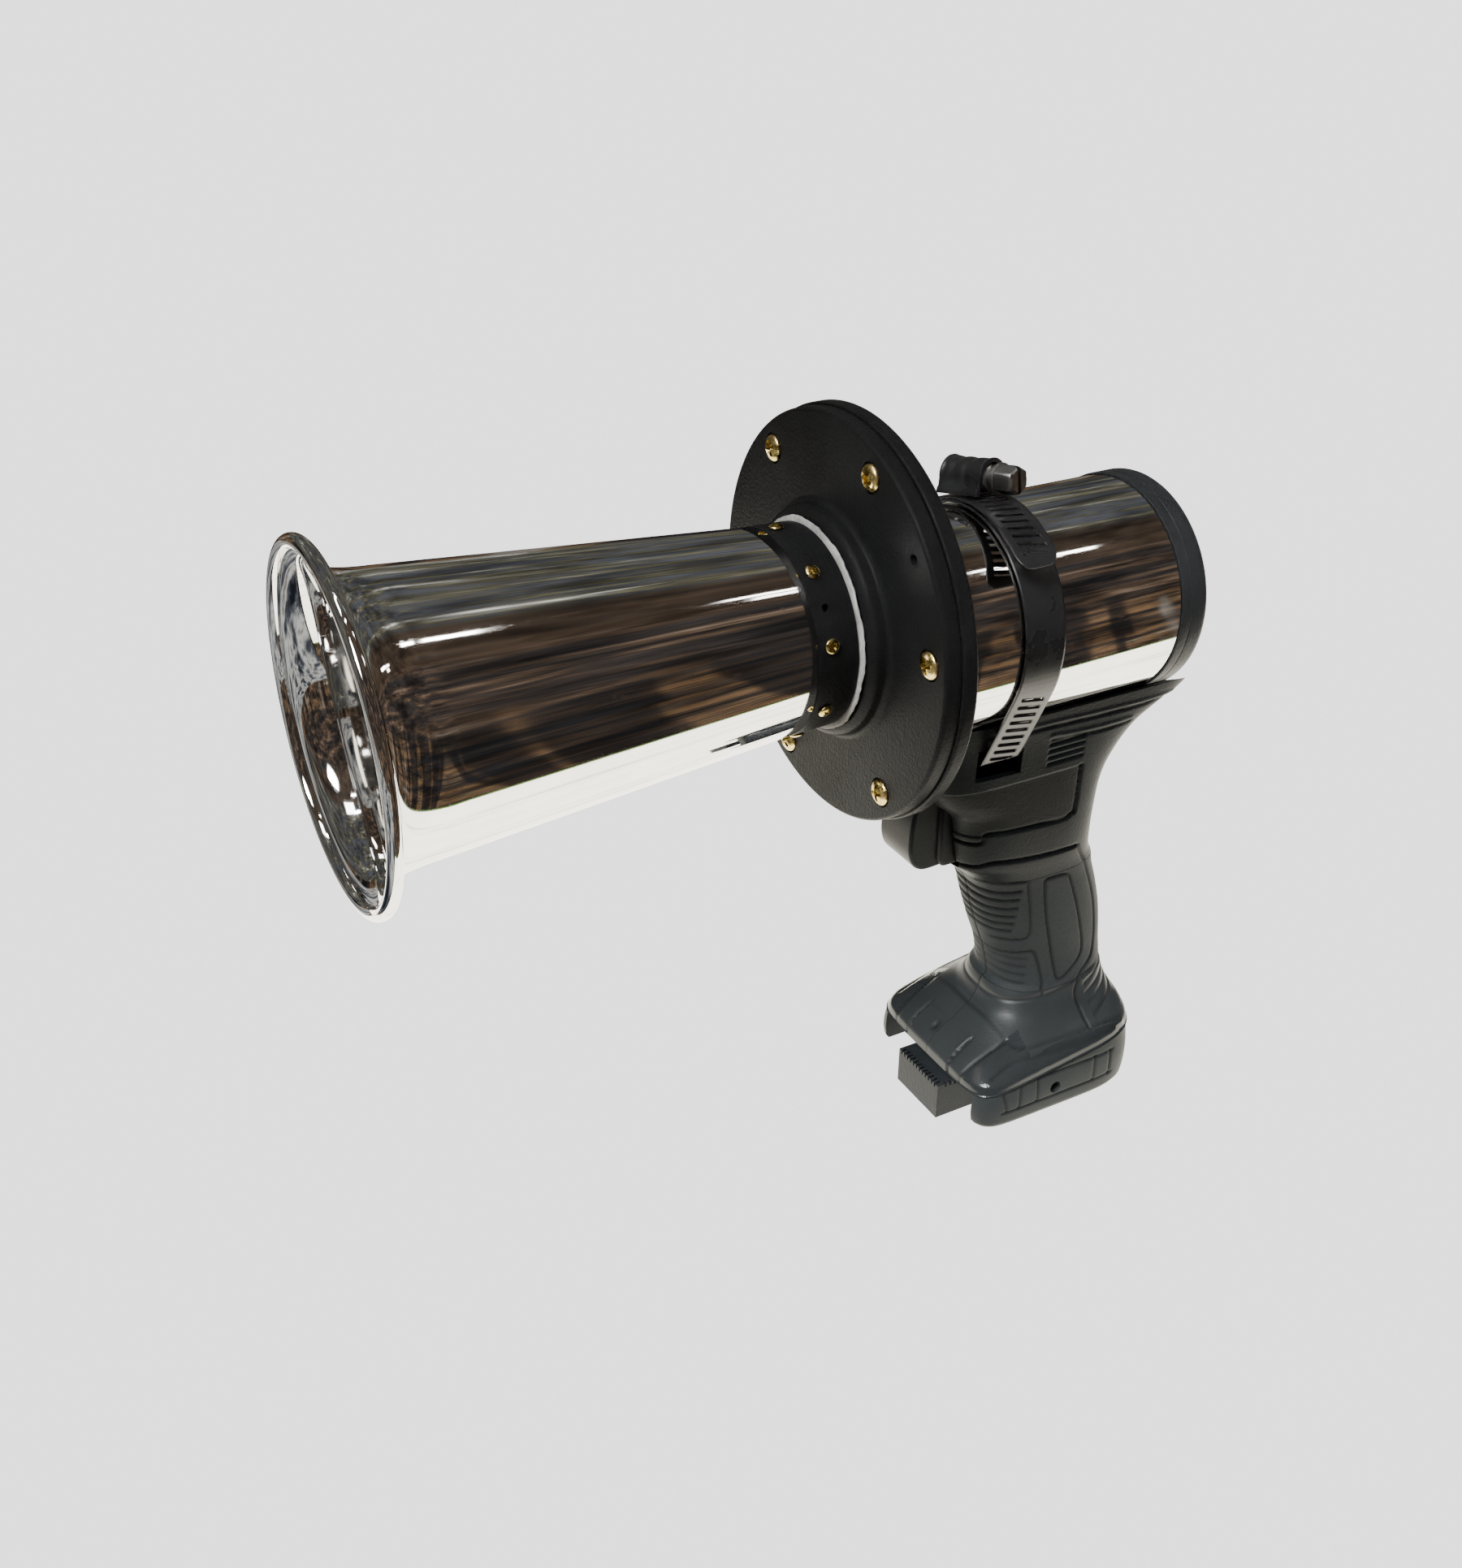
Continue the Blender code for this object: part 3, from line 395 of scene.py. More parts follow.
# ---- trumpet, collar, sealant ----
mouth, rear_y, flare = -230.5, -99.2, 21.0
flare_y = mouth + flare
rise = 51.8 - 2.2 - 40.0
outer = [(rear_y + (flare_y - rear_y) * k / 30, 31.0 + 9.0 * k / 30) for k in range(31)]
for k in range(1, 29):
    t = k / 28
    outer.append((flare_y - (flare - 2.2) * math.sin(t * math.pi / 2) ** 0.9,
                  40.0 + rise * (0.25 * t + 0.75 * t ** 2.6)))
bead = [(mouth + 2.2 + 2.2 * math.sin(math.radians(a)), 49.6 + 2.2 * math.cos(math.radians(a)))
        for a in range(60, -141, -10)]
inner = [(y + 0.3, r - 1.2) for y, r in outer[::-1]]
inner[-1] = (rear_y, 29.8)
trumpet = put("trumpet_fine", *turned(outer[:-1] + bead + inner[1:], T_AXIS, 192), "chrome", ["trumpet"],
              sharp=50)

collar = mesh_of("collar", *turned(rounded([(-85.6, 30.6, 0.5), (-98.9, 31.0, 0.4), (-98.9, 29.4), (-107.5,
        29.4),
                                            (-107.5, 26.6), (-85.6, 26.6)], 0.2), T_AXIS, 144))
collar = cut(collar, [rod_mesh("h", around(T_AXIS, 29.0, a, -94.6), around(T_AXIS, 34.0, a, -94.6), 1.35,
                               20)
                      for a in NECK_SCREWS]
             + [rod_mesh("h", around(T_AXIS, 28.2, 33.0, -94.3), around(T_AXIS, 34.0, 33.0, -94.3), 1.2,
                         20)])
finish_piece("collar_fine", collar, "black_cast", ["neck_collar"])


def drill(radius, degrees, start, end, bore, steps):
    """Rod along Y at a place on a circle round the trumpet's axis."""
    return rod_mesh("drill", around(T_AXIS, radius, degrees, start), around(T_AXIS, radius, degrees, end),
                    bore, steps)


def ragged(y, r, a):
    lump = (0.30 * math.sin(7 * a + 1) + 0.22 * math.sin(17 * a + 2.3)
            + 0.14 * math.sin(41 * a) + 0.1 * math.sin(67 * a + 1))
    return y + 0.35 * lump, (r + 0.35 * lump) if r > 30 else r


bead_profile = [(-84.1, 27.0), (-84.1, 31.2), (-84.3, 31.7), (-84.7, 32.0), (-85.1, 31.7), (-85.3, 31.2),
                (-85.3, 27.0)]
put("sealant_fine", *turned(bead_profile, T_AXIS, 256, ragged), "sealant", ["seal_bead"])

# ---- cover, housing, can, cap ----
cover = mesh_of("cover", *turned(rounded([(-72.9, 62.0, 0.2), (-77.2, 62.0, 0.7), (-78.0, 61.2, 0.4),
                                          (-78.0, 36.4, 0.6),
                                          (-79.0, 35.0, 0.8), (-82.2, 34.6, 0.9), (-83.7, 33.0, 1.2),
                                          (-83.7, 22.4), (-80.0, 22.0),
                                          (-76.6, 14.0), (-74.8, 14.0), (-74.0, 45.8), (-72.9, 45.8)], 0.2),
                                          T_AXIS, 192))
cover = cut(cover, [drill(54.0, a, -90, -60, 2.3, 24) for a in COVER_SCREWS]
            + [drill(54.0, a, -79.5, -77.1, 4.6, 40) for a in COVER_SCREWS]
            + [drill(55.3, 38, -80, -75.5, 1.6, 24)])
finish_piece("cover_fine", cover, "black_cast", ["diaphragm_cover"])
put("pilot_burr", *turned(rounded([(-77.9, 1.6), (-78.05, 1.9), (-77.9, 2.5)], 0.1),
                          (around(T_AXIS, 55.3, 38, 0)[0], around(T_AXIS, 55.3, 38, 0)[2]), 32),
                          "black_cast")
housing = mesh_of("housing", *turned(rounded([(-67.6, 0.0), (-67.6, 62.2, 0.5), (-68.3, 62.9, 0.5), (-72.0,
        62.9, 0.4), (-72.6, 62.5),
                                              (-72.6, 61.5), (-71.0, 61.5), (-71.0, 45.0), (-70.2, 43.0),
                                              (-70.2, 0.0)], 0.2), T_AXIS, 192))
housing = cut(housing, [rod_mesh("h", (0, -80, CAN_Z), (0, -60, CAN_Z), 14.5, 64)])
finish_piece("housing_fine", housing, "black_cast", ["diaphragm_housing"])
can = put("can_fine", *turned(rounded([(25.4, 35.0, 0.2), (-66.2, 35.0, 0.8), (-67.3, 33.9, 0.6), (-67.3,
        14.5), (-65.7, 14.5),
                                 (-65.7, 33.4), (25.4, 33.4)], 0.1), M_AXIS, 192), "chrome", ["motor_can"])
# The end cap wears the lighter copy of black_cast, as painted light.
put("cap_fine", *turned(rounded([(37.0, 2.6), (37.0, 33.0, 1.4), (35.2, 35.5, 1.6), (29.6, 35.5, 0.1),
                                 (29.4, 35.3, 0.1), (29.2, 35.5, 0.1),
                                 (25.7, 35.5, 0.4), (25.7, 33.1), (21.0, 33.1), (21.0, 31.5), (34.3, 31.5),
                                 (34.3, 11.0), (26.0, 11.0),
                                 (26.0, 8.0), (33.2, 8.0), (33.2, 2.6)], 0.15), M_AXIS, 160), "black_cast",
                                 ["motor_end_cap"], mat=MATS["cap_cast_painted_light"])


# ---- screws ----
def cross_head(name, radius, height):
    """Domed head on a short shank, with a tapering cross recess."""
    profile = [(0.0, -1.2), (0.52 * radius, -1.2), (0.52 * radius, 0.0), (0.94 * radius, 0.0), (radius,
            0.22 * height)]
    for k in range(1, 10):
        t = k / 9
        profile.append((radius * math.cos(t * math.pi / 2),
                        height * (0.22 + 0.78 * math.sin(t * math.pi / 2))))
    profile[-1] = (0.0, height)
    verts, faces = turned([(h, r) for r, h in profile], (0.0, 0.0), 40)
    verts = [(x, -z, y) for x, y, z in verts]
    head = mesh_of(name, verts, faces)
    arms = []
    for across in (0, 1):
        low = (0.62 * radius, 0.13 * radius)
        top = (0.78 * radius, 0.17 * radius)
        z0, z1 = 0.15 * height, height + 0.6
        corners = []
        for z, (a, b) in ((z0, (0.30 * radius, low[1])), (z1, top)):
            for sx, sy in ((-1, -1), (1, -1), (1, 1), (-1, 1)):
                corners.append((sx * a, sy * b, z) if across == 0 else (sx * b, sy * a, z))
        arms.append(mesh_of("arm", corners, [(0, 3, 2, 1), (4, 5, 6, 7), (0, 1, 5, 4), (1, 2, 6, 5), (2, 3,
                7, 6), (3, 0, 4, 7)]))
    return cut(head, arms)


def drive_in(name, mesh, place, out, spin, slot, node):
    mesh.materials.clear()
    mesh.materials.append(MATS[slot])
    obj = add_object(name, mesh)
    turn = Vector(out).to_track_quat('Z', 'Y').to_matrix().to_4x4() @ Matrix.Rotation(math.radians(spin), 4,
            'Z')
    obj.matrix_world = Matrix.Translation(Vector(place) * MM) @ turn
    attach(obj, "body")
    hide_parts(node)


big, small, shell_head = cross_head("screw_big", 4.1, 2.4), cross_head("screw_small", 2.2,
        1.0), cross_head("screw_shell", 2.9, 1.8)
for head in (big, small, shell_head):
    head.shade_smooth()
    head.set_sharp_from_angle(angle=math.radians(32))
for i, a in enumerate(COVER_SCREWS):
    drive_in(f"cover_screw_fine_{i + 1}", big, around(T_AXIS, 54.0, a, -77.3), (0, -1, 0), 17 + 53 * i,
             "brass", f"cover_screw_{i + 1}")
for i, a in enumerate(NECK_SCREWS):
    out = (math.cos(math.radians(a)), 0, math.sin(math.radians(a)))
    drive_in(f"neck_screw_fine_{i + 1}", small, around(T_AXIS, 31.2, a, -94.6), out, 31 + 37 * i, "brass",
             f"neck_screw_{i + 1}")
SHELL_SCREWS = (("head_front", -41.0, 141.0), ("head_rear", 12.6, 137.0), ("grip", 12.0, 62.0))
for label, y, z in SHELL_SCREWS:
    drive_in(f"shell_screw_{label}", shell_head, (-8.6, y, z), (-1, 0, 0), 20,
             SLOT_OF[f"handle_screw_{label}"], f"handle_screw_{label}")

# ---- hose clamp ----
BAND_Y, LEAN, BAND_R = -27.0, 0.04, CAN_R + 0.75 + 0.35
knots = [around(M_AXIS, BAND_R, a, 0) for a in range(120, -25, -3)]
knots += [(26.2, 0, 158.2), (22.7, 0, 150.4), (21.2, 0, 147.4), (17.5, 0, 145.9)]
knots += [(-x, 0, z) for x, _, z in knots[:-5:-1]]
knots += [around(M_AXIS, BAND_R, a, 0) for a in range(204, 139, -4)]
knots += [around(M_AXIS, BAND_R + 1.05, a, 0) for a in range(134, 97, -4)]
tail_from = sum((Vector(b) - Vector(a)).length for a, b in zip(knots, knots[1:]))
leave = Vector(knots[-1])
for k in range(1, 6):
    leave = leave + 8.4 * Vector((1.0, 0.0, 0.30 - 0.17 * k)).normalized()
    knots.append(tuple(leave))
line = np.array([(x, z) for x, _, z in knots])
reach = np.concatenate([[0], np.cumsum(np.hypot(*np.diff(line, axis=0).T))])
total = reach[-1]
PITCH, CELLS, ACROSS = 3.4, 8, 22
columns = int(total / PITCH) * CELLS
half = 7.1
verts, faces = [], []
for i in range(columns + 1):
    for j in range(ACROSS + 1):
        v = -half + 2 * half * j / ACROSS
        s = i * PITCH / CELLS * total / (columns * PITCH / CELLS)
        edge = min(1.0, s / 6.0, (total - s) / 6.0)
        s = min(max(s + 0.22 * v * edge, 0.0), total)
        close = total - s
        width = v if close > 6.0 else v * math.sqrt(max(0.0, 1 - (1 - close / 6.0) ** 2)) * 0.6 + v * 0.4
        x, z = np.interp(s, reach, line[:, 0]), np.interp(s, reach, line[:, 1])
        drift = -4.5 * max(0.0, (s - tail_from) / (total - tail_from)) ** 1.2
        verts.append((x, BAND_Y + LEAN * (z - CAN_Z) + width + drift, z))
for i in range(columns):
    s = (i + 0.5) * total / columns
    x, z = np.interp(s, reach, line[:, 0]), np.interp(s, reach, line[:, 1])
    slotted = s > tail_from - 26 or z < 176 or s < 24
    for j in range(ACROSS):
        if slotted and s < total - 5.0 and i % CELLS in (3, 4, 5) and 4 <= j < ACROSS - 4:
            continue
        a = i * (ACROSS + 1) + j
        faces.append((a, a + 1, a + ACROSS + 2, a + ACROSS + 1))
band = put("clamp_band_fine", verts, faces, "band_steel", ["clamp_band"], sharp=50)
thick = band.modifiers.new("thickness", 'SOLIDIFY')
thick.thickness = 0.7 * MM
thick.offset = 0.0

w = Vector((math.cos(math.radians(100)), 0, math.sin(math.radians(100))))
along = Vector((math.cos(math.radians(10)), 0, math.sin(math.radians(10))))
u = along * math.cos(math.radians(14)) + Vector((0, math.sin(math.radians(14)), 0))
clamp_place = Matrix.Translation(Vector((0, BAND_Y + LEAN * 39.0, CAN_Z)) * MM) @ Matrix((u, w.cross(u),
        w)).transposed().to_4x4()
verts, count = [], 0
stations = [-8.0 + 16.0 * k / 48 for k in range(49)]
for s in stations:
    swell = (0.35 * math.exp(-((abs(s) - 7.7) / 0.7) ** 2) - 0.3 * math.exp(-((s - 1.5) / 1.1) ** 2)
             - 0.3 * math.exp(-((s + 3.4) / 1.1) ** 2))
    outline = []
    for r, side, sign in ((5.8 + swell, 7.6, 1), (4.8, 6.6, -1)):
        curve = [(r * math.cos(math.radians(a)), 42.6 + r * math.sin(math.radians(a))) for a in range(0,
                181, 6)]
        leg = [(side, 38.4), (side, 39.0), (side - 0.3, 39.8), (side - 1.0, 40.6), *curve, (-side + 1.0,
                40.6), (-side + 0.3, 39.8), (-side, 39.0), (-side, 38.4)]
        outline += leg[::sign]
    count = len(outline)
    verts += [tuple(clamp_place @ (Vector((s, a, b)) * MM) / MM) for a, b in outline]
finish_piece("clamp_housing_fine", mesh_of("arch", verts, tube_faces(len(stations), count)), "band_steel",
             ["clamp_housing"])

turns = [(-7.6 + 16.0 * k / 96, None) for k in range(97)]
verts, ring = [], 48
shape = [(-8.6, 3.2)] + turns + [(8.8, 2.6), (9.9, 2.6), (10.2, 4.6), (10.4, 4.9), (11.4, 4.9), (11.6, 4.7),
                                 (11.65, "hex"), (16.9, "hex"), (17.5, "hexin"), (18.0, 3.3)]
for s, r in shape:
    for k in range(ring):
        a = 2 * math.pi * k / ring
        if r is None:
            rr = 3.75 + 0.55 * math.cos(2 * math.pi * s / 2.2 - a)
        elif r in ("hex", "hexin"):
            sector = (a + math.pi / 6) % (math.pi / 3) - math.pi / 6
            rr = min(4.05 / math.cos(sector), 4.5) - (0.25 if r == "hexin" else 0.0)
        else:
            rr = r
        verts.append((s, rr * math.cos(a), rr * math.sin(a)))
worm = cut(mesh_of("worm", verts, tube_faces(len(shape), ring)),
           [box_mesh("slot", (16.2, -0.7, -7), (19, 0.7, 7))])
worm.transform(clamp_place @ Matrix.Translation((0, 0, 42.6 * MM)))
finish_piece("clamp_screw_fine", worm, "band_steel", ["clamp_screw"], "clamp_screw", 30, MATS["worm_steel"])

# ---- handle skin ----
def oval_ring(z, half_width, front, rear, power, tilt, count):
    """Superellipse section, its points evenly spaced round it from the middle of the front."""
    middle, depth = (front + rear) / 2, (rear - front) / 2
    t = np.linspace(0, 2 * math.pi, 2400, endpoint=False) - math.pi / 2
    c, s = np.cos(t), np.sin(t)
    p = np.where(s > 0, power[1], power[0])
    x = half_width * np.sign(c) * np.abs(c) ** (2 / p)
    y = middle + depth * np.sign(s) * np.abs(s) ** (2 / p)
    ring = np.column_stack([np.append(x, x[0]), np.append(y, y[0])])
    run = np.concatenate([[0], np.cumsum(np.hypot(*np.diff(ring, axis=0).T))])
    want = np.linspace(0, run[-1], count, endpoint=False)
    xs, ys = np.interp(want, run, ring[:, 0]), np.interp(want, run, ring[:, 1])
    return np.column_stack([xs, ys, z + tilt * ys])


def smooth_rows(rows, step):
    """Monotone cubic through the rows' numbers, sampled every step millimetres of height."""
    data = []
    for row in rows:
        power = row[4] if isinstance(row[4], tuple) else (row[4], row[4])
        data.append([*row[:4], *power, row[5] if len(row) > 5 else 0.0])
    data = np.array(data)
    z = data[:, 0]
    h = np.diff(z)
    fine = np.arange(z[0], z[-1], step)
    fine = np.append(fine, z[-1])
    out = [fine]
    for column in data[:, 1:].T:
        d = np.diff(column) / h
        m = np.zeros(len(z))
        for i in range(1, len(z) - 1):
            if d[i - 1] * d[i] > 0:
                w1, w2 = 2 * h[i] + h[i - 1], h[i] + 2 * h[i - 1]
                m[i] = (w1 + w2) / (w1 / d[i - 1] + w2 / d[i])
        m[0], m[-1] = d[0], d[-1]
        i = np.clip(np.searchsorted(z, fine, side='right') - 1, 0, len(h) - 1)
        t = (fine - z[i]) / h[i]
        out.append((2 * t ** 3 - 3 * t ** 2 + 1) * column[i] + (t ** 3 - 2 * t ** 2 + t) * h[i] * m[i]
                   + (-2 * t ** 3 + 3 * t ** 2) * column[i + 1] + (t ** 3 - t ** 2) * h[i] * m[i + 1])
    return np.array(out).T


def smooth_route(route, steps, closed=False):
    """Points along a smooth curve through the route, with steps of them to each leg."""
    pts = [np.array(p, float) for p in route]
    n = len(pts)
    fine = []
    for i in range(n if closed else n - 1):
        a, b, c, d = (pts[(i + k) % n] if closed else pts[min(max(i + k, 0), n - 1)] for k in (-1, 0, 1, 2))
        for k in range(steps):
            t = k / steps
            fine.append(0.5 * (2 * b + (c - a) * t + (2 * a - 5 * b + 4 * c - d) * t * t
                               + (3 * b - a - 3 * c + d) * t ** 3))
    fine.append(pts[0] if closed else pts[-1])
    return fine


def away(y, z, route, closed=False):
    """Distance from (y, z) to the smooth curve through the route."""
    fine = smooth_route(route, 6, closed)
    best = np.full(y.shape, 1e9)
    for p, q in zip(fine, fine[1:]):
        e = q - p
        t = np.clip(((y - p[0]) * e[0] + (z - p[1]) * e[1]) / max(e @ e, 1e-9), 0, 1)
        best = np.minimum(best, np.hypot(y - p[0] - t * e[0], z - p[1] - t * e[1]))
    return best


def inside(y, z, polygon):
    hit = np.zeros(y.shape, bool)
    for (y0, z0), (y1, z1) in zip(polygon, polygon[1:] + polygon[:1]):
        crosses = ((z0 > z) != (z1 > z))
        with np.errstate(divide='ignore', invalid='ignore'):
            hit ^= crosses & (y < (y1 - y0) * (z - z0) / (z1 - z0 + 1e-12) + y0)
    return hit


LEAF = [(-2.2, 93.1), (1.8, 93.6), (7.2, 92.8), (10, 87.4), (13.7, 77.7), (16.6, 68.2), (18.6, 58.8), (17.6,
        54.9), (14.4, 51.6),
        (10.9, 49.1), (8.1, 49.0), (6.9, 52.9), (4.5, 62.0), (2.5, 69.5), (0.1, 78.8), (-1.9, 89.6)]
FINGER = [(-26.0, 94.7), (-10.6, 94.7), (-9.0, 92.6), (-7.2, 85.9), (-5.0, 74.8), (-4.9, 70.4), (-6.8,
        68.6), (-26.0, 66.4)]
LOWER = [(-26.0, 60.6), (-12.9, 61.2), (-4.5, 62.7), (-1.9, 62.0), (0.6, 55.9), (2.1, 49.1), (1.4, 44.0)]
HEEL = [(9.3, 103.8), (15.1, 95), (19.5, 86.3), (22.4, 78.5), (24.2, 71.1), (25.4, 60.6), (24.2, 53.1),
        (19.1, 48.9), (16.9, 45.7),
        (14.9, 41.6), (15.3, 37.9), (15.4, 33)]
TOP_LINE = [(-34, 105.4), (-30.1, 105.9), (-26.3, 107.2), (-20.6, 106.8), (-7.6, 105.3), (6.4, 104.4), (9.3,
        103.8)]
HEAD_LOW = [(-42, 115.6), (-31.5, 115.8), (-29.6, 119.1), (-22.5, 118.9), (-9.7, 118.2), (0.3, 117.8), (3.3,
        118.7), (4.9, 121), (4.9, 137)]
HOOD_CREASE = [(-16.1, 36.4), (-12.3, 31.8), (1.3, 32.2), (18.1, 33.0), (29.2, 31.8)]
RIBS = (89.9, 86.2, 82.3, 78.7, 75.3, 71.9)


def groove(d, depth, width):
    return -depth * np.exp(-(d / width) ** 2)


def step_edge(d, is_in, height, width):
    """Raised field: full height inside, falling to nothing at its outline."""
    return height * np.where(is_in, 1 - 0.5 * np.exp(-d / width), 0.5 * np.exp(-d / width))


def relief(x, y, z):
    """Depth of the moulded lines, and how dark each point is painted, for points on the handle: painted
    shade along the grooves, a dark seam line, and the head panel's darker tone.
    """
    side = np.clip((np.abs(x) - 8.0) / 3.0, 0, 1)
    depth, line = np.zeros(x.shape), np.zeros(x.shape)

    # Each groove is cut into the depth and darkened in colour along its length, as painted shade.
    def carve(d, amount, width, mask, painted_shade_and_tone=1.0):
        nonlocal depth, line
        depth += groove(d, amount, width) * mask
        line = np.maximum(line, painted_shade_and_tone * np.exp(-(d / (1.1 * width)) ** 2) * mask)

    grip = np.clip((z - 44.0) / 1.5, 0, 1) * np.clip((106 - z) / 1.5, 0, 1)
    carve(away(y, z, LEAF, True), 0.7, 0.55, side * grip)
    depth += step_edge(away(y, z, LEAF, True), inside(y, z, LEAF), 0.25, 1.2) * side * grip
    carve(away(y, z, HEEL), 0.6, 0.6, side)
    carve(away(y, z, TOP_LINE), 0.9, 0.7, 1.0 * (y < 11))
    finger_field = inside(y, z, FINGER)
    edge = away(y, z, FINGER[:-1] + [(-14.0, 67.9)])
    carve(edge, 0.6, 0.55, grip * (y > -24.5))
    for rib in RIBS:
        height = rib + 0.08 * (y + 16)
        carve(np.abs(z - height) + 4 * np.clip(y + 10.5, 0, None), 0.75, 0.62, finger_field * grip, 0.9)
    carve(away(y, z, LOWER), 0.55, 0.55, grip * (y > -24.5))
    for rib in (59.0, 55.5, 52.0, 48.5):
        carve(np.abs(z - rib) + 4 * np.clip(y + 3.5, 0, None), 0.4, 0.6, grip * (y < 0), 0.5)
    for rib in (36.5, 39.5, 42.5, 45.5, 48.5):
        carve(np.abs(z - rib - 0.3 * (y - 25)) + 3 * np.clip(19.5 - y, 0, None), 0.35, 0.6,
              np.ones(x.shape), 0.4)
    head = np.clip((z - 108) / 1.0, 0, 1)
    carve(away(y, z, HEAD_LOW), 0.7, 0.6, side * head)
    field = (z > 118.4) & (y < 4.9) & (z < 137)
    depth += np.where(field, -0.35, 0.0) * side
    line = np.maximum(line, 0.6 * field * side)
    for low in (141.0, 143.4, 145.8, 148.2):
        span = np.clip(np.abs(y + 2.5) - 7.0, 0, None)
        carve(np.hypot(z - low, 3 * span), 0.6, 0.55, side, 0.9)
    for route, amount in (([(-21, 155.6), (-10, 155.4), (3, 154.9), (23, 154.4), (40, 154.0)], 0.5),
                          ([(-9, 150), (3.5, 148.9), (23.1, 148.5)], 0.45)):
        carve(away(y, z, route), amount, 0.7, side * head, 0.7)
        d = away(y, z, [(a, b + 1.6) for a, b in route])
        depth += 0.35 * np.exp(-(d / 0.8) ** 2) * side * head
    low = np.clip((43 - z) / 1.5, 0, 1)
    d = away(y, z, HOOD_CREASE)
    depth += 0.3 * np.exp(-(d / 1.1) ** 2) * side * low
    carve(np.abs(z - 0.14 * y - 44.2), 0.35, 0.6, np.ones(x.shape), 0.6)
    # A groove round the foot's raised middle, its colour darkened as painted shade.
    middle = np.clip(1 - np.abs(np.abs(x) - 12.5) / 1.0, 0, 1) * (z < 31) * (y < -18)
    depth -= 0.5 * middle
    line = np.maximum(line, 0.5 * middle)
    depth += 0.5 * (np.abs(x) < 12.0) * (z < 31) * (y < -20)
    wide = np.abs(x)
    for route, amount, weight in (([(0, -16.3), (6.2, -16.1), (17.5, -15.4), (26.0, -12.6), (28.2, 1.3),
                                    (29.4, 18.1), (29.0, 29.2)], 0.4, 0.7),
                                  ([(19.9, -32.5), (20.8, -25.7), (21.9, -15.8)], 0.4, 0.7),
                                  ([(28.8, -26.1), (28.4, -19.1), (29.4, -12.1), (31.0, 0), (32.0, 13.2),
                                    (31.4, 29.2)], 0.3, 0.5)):
        carve(away(wide, y, route), amount, 0.55, low * (z < 41), weight)
    d = np.hypot(x + 2.6, y + 27.7)
    carve(d, 0.9, 1.5, low * (z < 34), 0.9)
    seam = np.exp(-(x / 0.35) ** 2) * np.clip((z - 40) / 2, 0, 1)
    depth -= 0.35 * seam
    line = np.maximum(line, 0.8 * seam)
    return depth, line


def panel_relief(x, y, z):
    """Grooved outer panel of the foot's side skirts, with painted shade darkening each groove."""
    depth, line = np.zeros(x.shape), np.zeros(x.shape)
    side = (np.abs(x) > 29.0).astype(float)
    top = [(-31.2, 15.8), (-29.0, 20.7), (-22.7, 23.4), (-14.5, 24.2), (-1.5, 24.6), (12.1, 25.0), (30.0,
            24.8)]
    lines = [[(-24, 12.9), (24, 13.1)]] + [[(a, 13.0), (b, t)] for a, b, t in
             ((-22.2, -23.6, 21.6), (-17.1, -16.3, 22.6), (-9.3, -9.3, 23), (15.1, 15.5, 23), (22.7, 22.7,
                     23))]
    lines.append([(-23.6, 21.4), (-14, 22.6), (0, 22.9), (14, 23.0), (24, 22.9)])
    for route in lines:
        d = away(y, z, route)
        depth += groove(d, 0.45, 0.5) * side
        # Darkens the colour along each groove: painted shade.
        line = np.maximum(line, 0.9 * np.exp(-(d / 0.55) ** 2) * side)
    return depth, line


def skin_solid(name, rows, count, step, carve):
    """Closed solid through the rows with its relief pushed in along the outward normal."""
    fine = smooth_rows(rows, step)
    rings = np.array([oval_ring(r[0], r[1], r[2], r[3], (r[4], r[5]), r[6], count) for r in fine])
    across = np.roll(rings, -1, axis=1) - np.roll(rings, 1, axis=1)
    upward = np.gradient(rings, axis=0)
    normal = np.cross(across, upward)
    normal /= np.linalg.norm(normal, axis=2, keepdims=True)
    depth, _ = carve(rings[..., 0], rings[..., 1], rings[..., 2])
    calm = np.ones(len(rings))
    calm[0] = calm[-1] = 0
    rings = rings + normal * (np.minimum(depth, 0.30) - 0.30)[..., None] * calm[:, None, None]
    verts = rings.reshape(-1, 3)
    mesh = bpy.data.meshes.new(name)
    mesh.from_pydata((verts * MM).tolist(), [], tube_faces(len(rings), count))
    return mesh


def painted_shade_and_tone(mesh, carve):
    """Stores how dark each point is painted, for the material: painted shade along the moulded grooves, the
    darker seam and head panel; also the polish mask that lowers roughness.
    """
    count = len(mesh.vertices)
    co = np.empty(count * 3)
    mesh.vertices.foreach_get("co", co)
    co = co.reshape(-1, 3) / MM
    _, line = carve(co[:, 0], co[:, 1], co[:, 2])
    front = (co[:, 2] < 38) & (co[:, 2] > 18) & (((co[:, 1] < -10.0) & (np.abs(co[:,
            0]) > 21.0)) | (np.abs(co[:, 0]) > 29.5))
    layer = mesh.attributes.new("polish", 'FLOAT', 'POINT')
    layer.data.foreach_set("value", (front & (carve is relief)).astype(np.float32))
    layer = mesh.attributes.new("line", 'FLOAT', 'POINT')
    layer.data.foreach_set("value", line.astype(np.float32))
    return mesh


FOOT = [(24.4, 33.8, -33.2, 38.4, (7.0, 4.2), 0.14), (27.0, 33.4, -33.0, 38.3, (6.0, 4.0), 0.14), (30.2,
        30.8, -30.0, 38.0, (4.6, 3.6), 0.13),
        (34.0, 25.8, -22.4, 37.2, (3.8, 3.2), 0.10), (39.4, 21.2, -14.4, 36.2, (3.0, 2.9), 0.05)]
GRIP = [(46.0, 18.8, -11.4, 35.6, 2.6), (48.0, 18.2, -10.0, 35.0, 2.6), (58.0, 17.2, -12.0, 34.2, 2.5),
        (69.0, 17.4, -16.0, 32.8, 2.5),
        (80.0, 17.8, -19.6, 30.0, 2.5), (90.0, 18.2, -22.4, 26.4, 2.6), (95.0, 18.7, -25.6, 24.8, 2.8)]
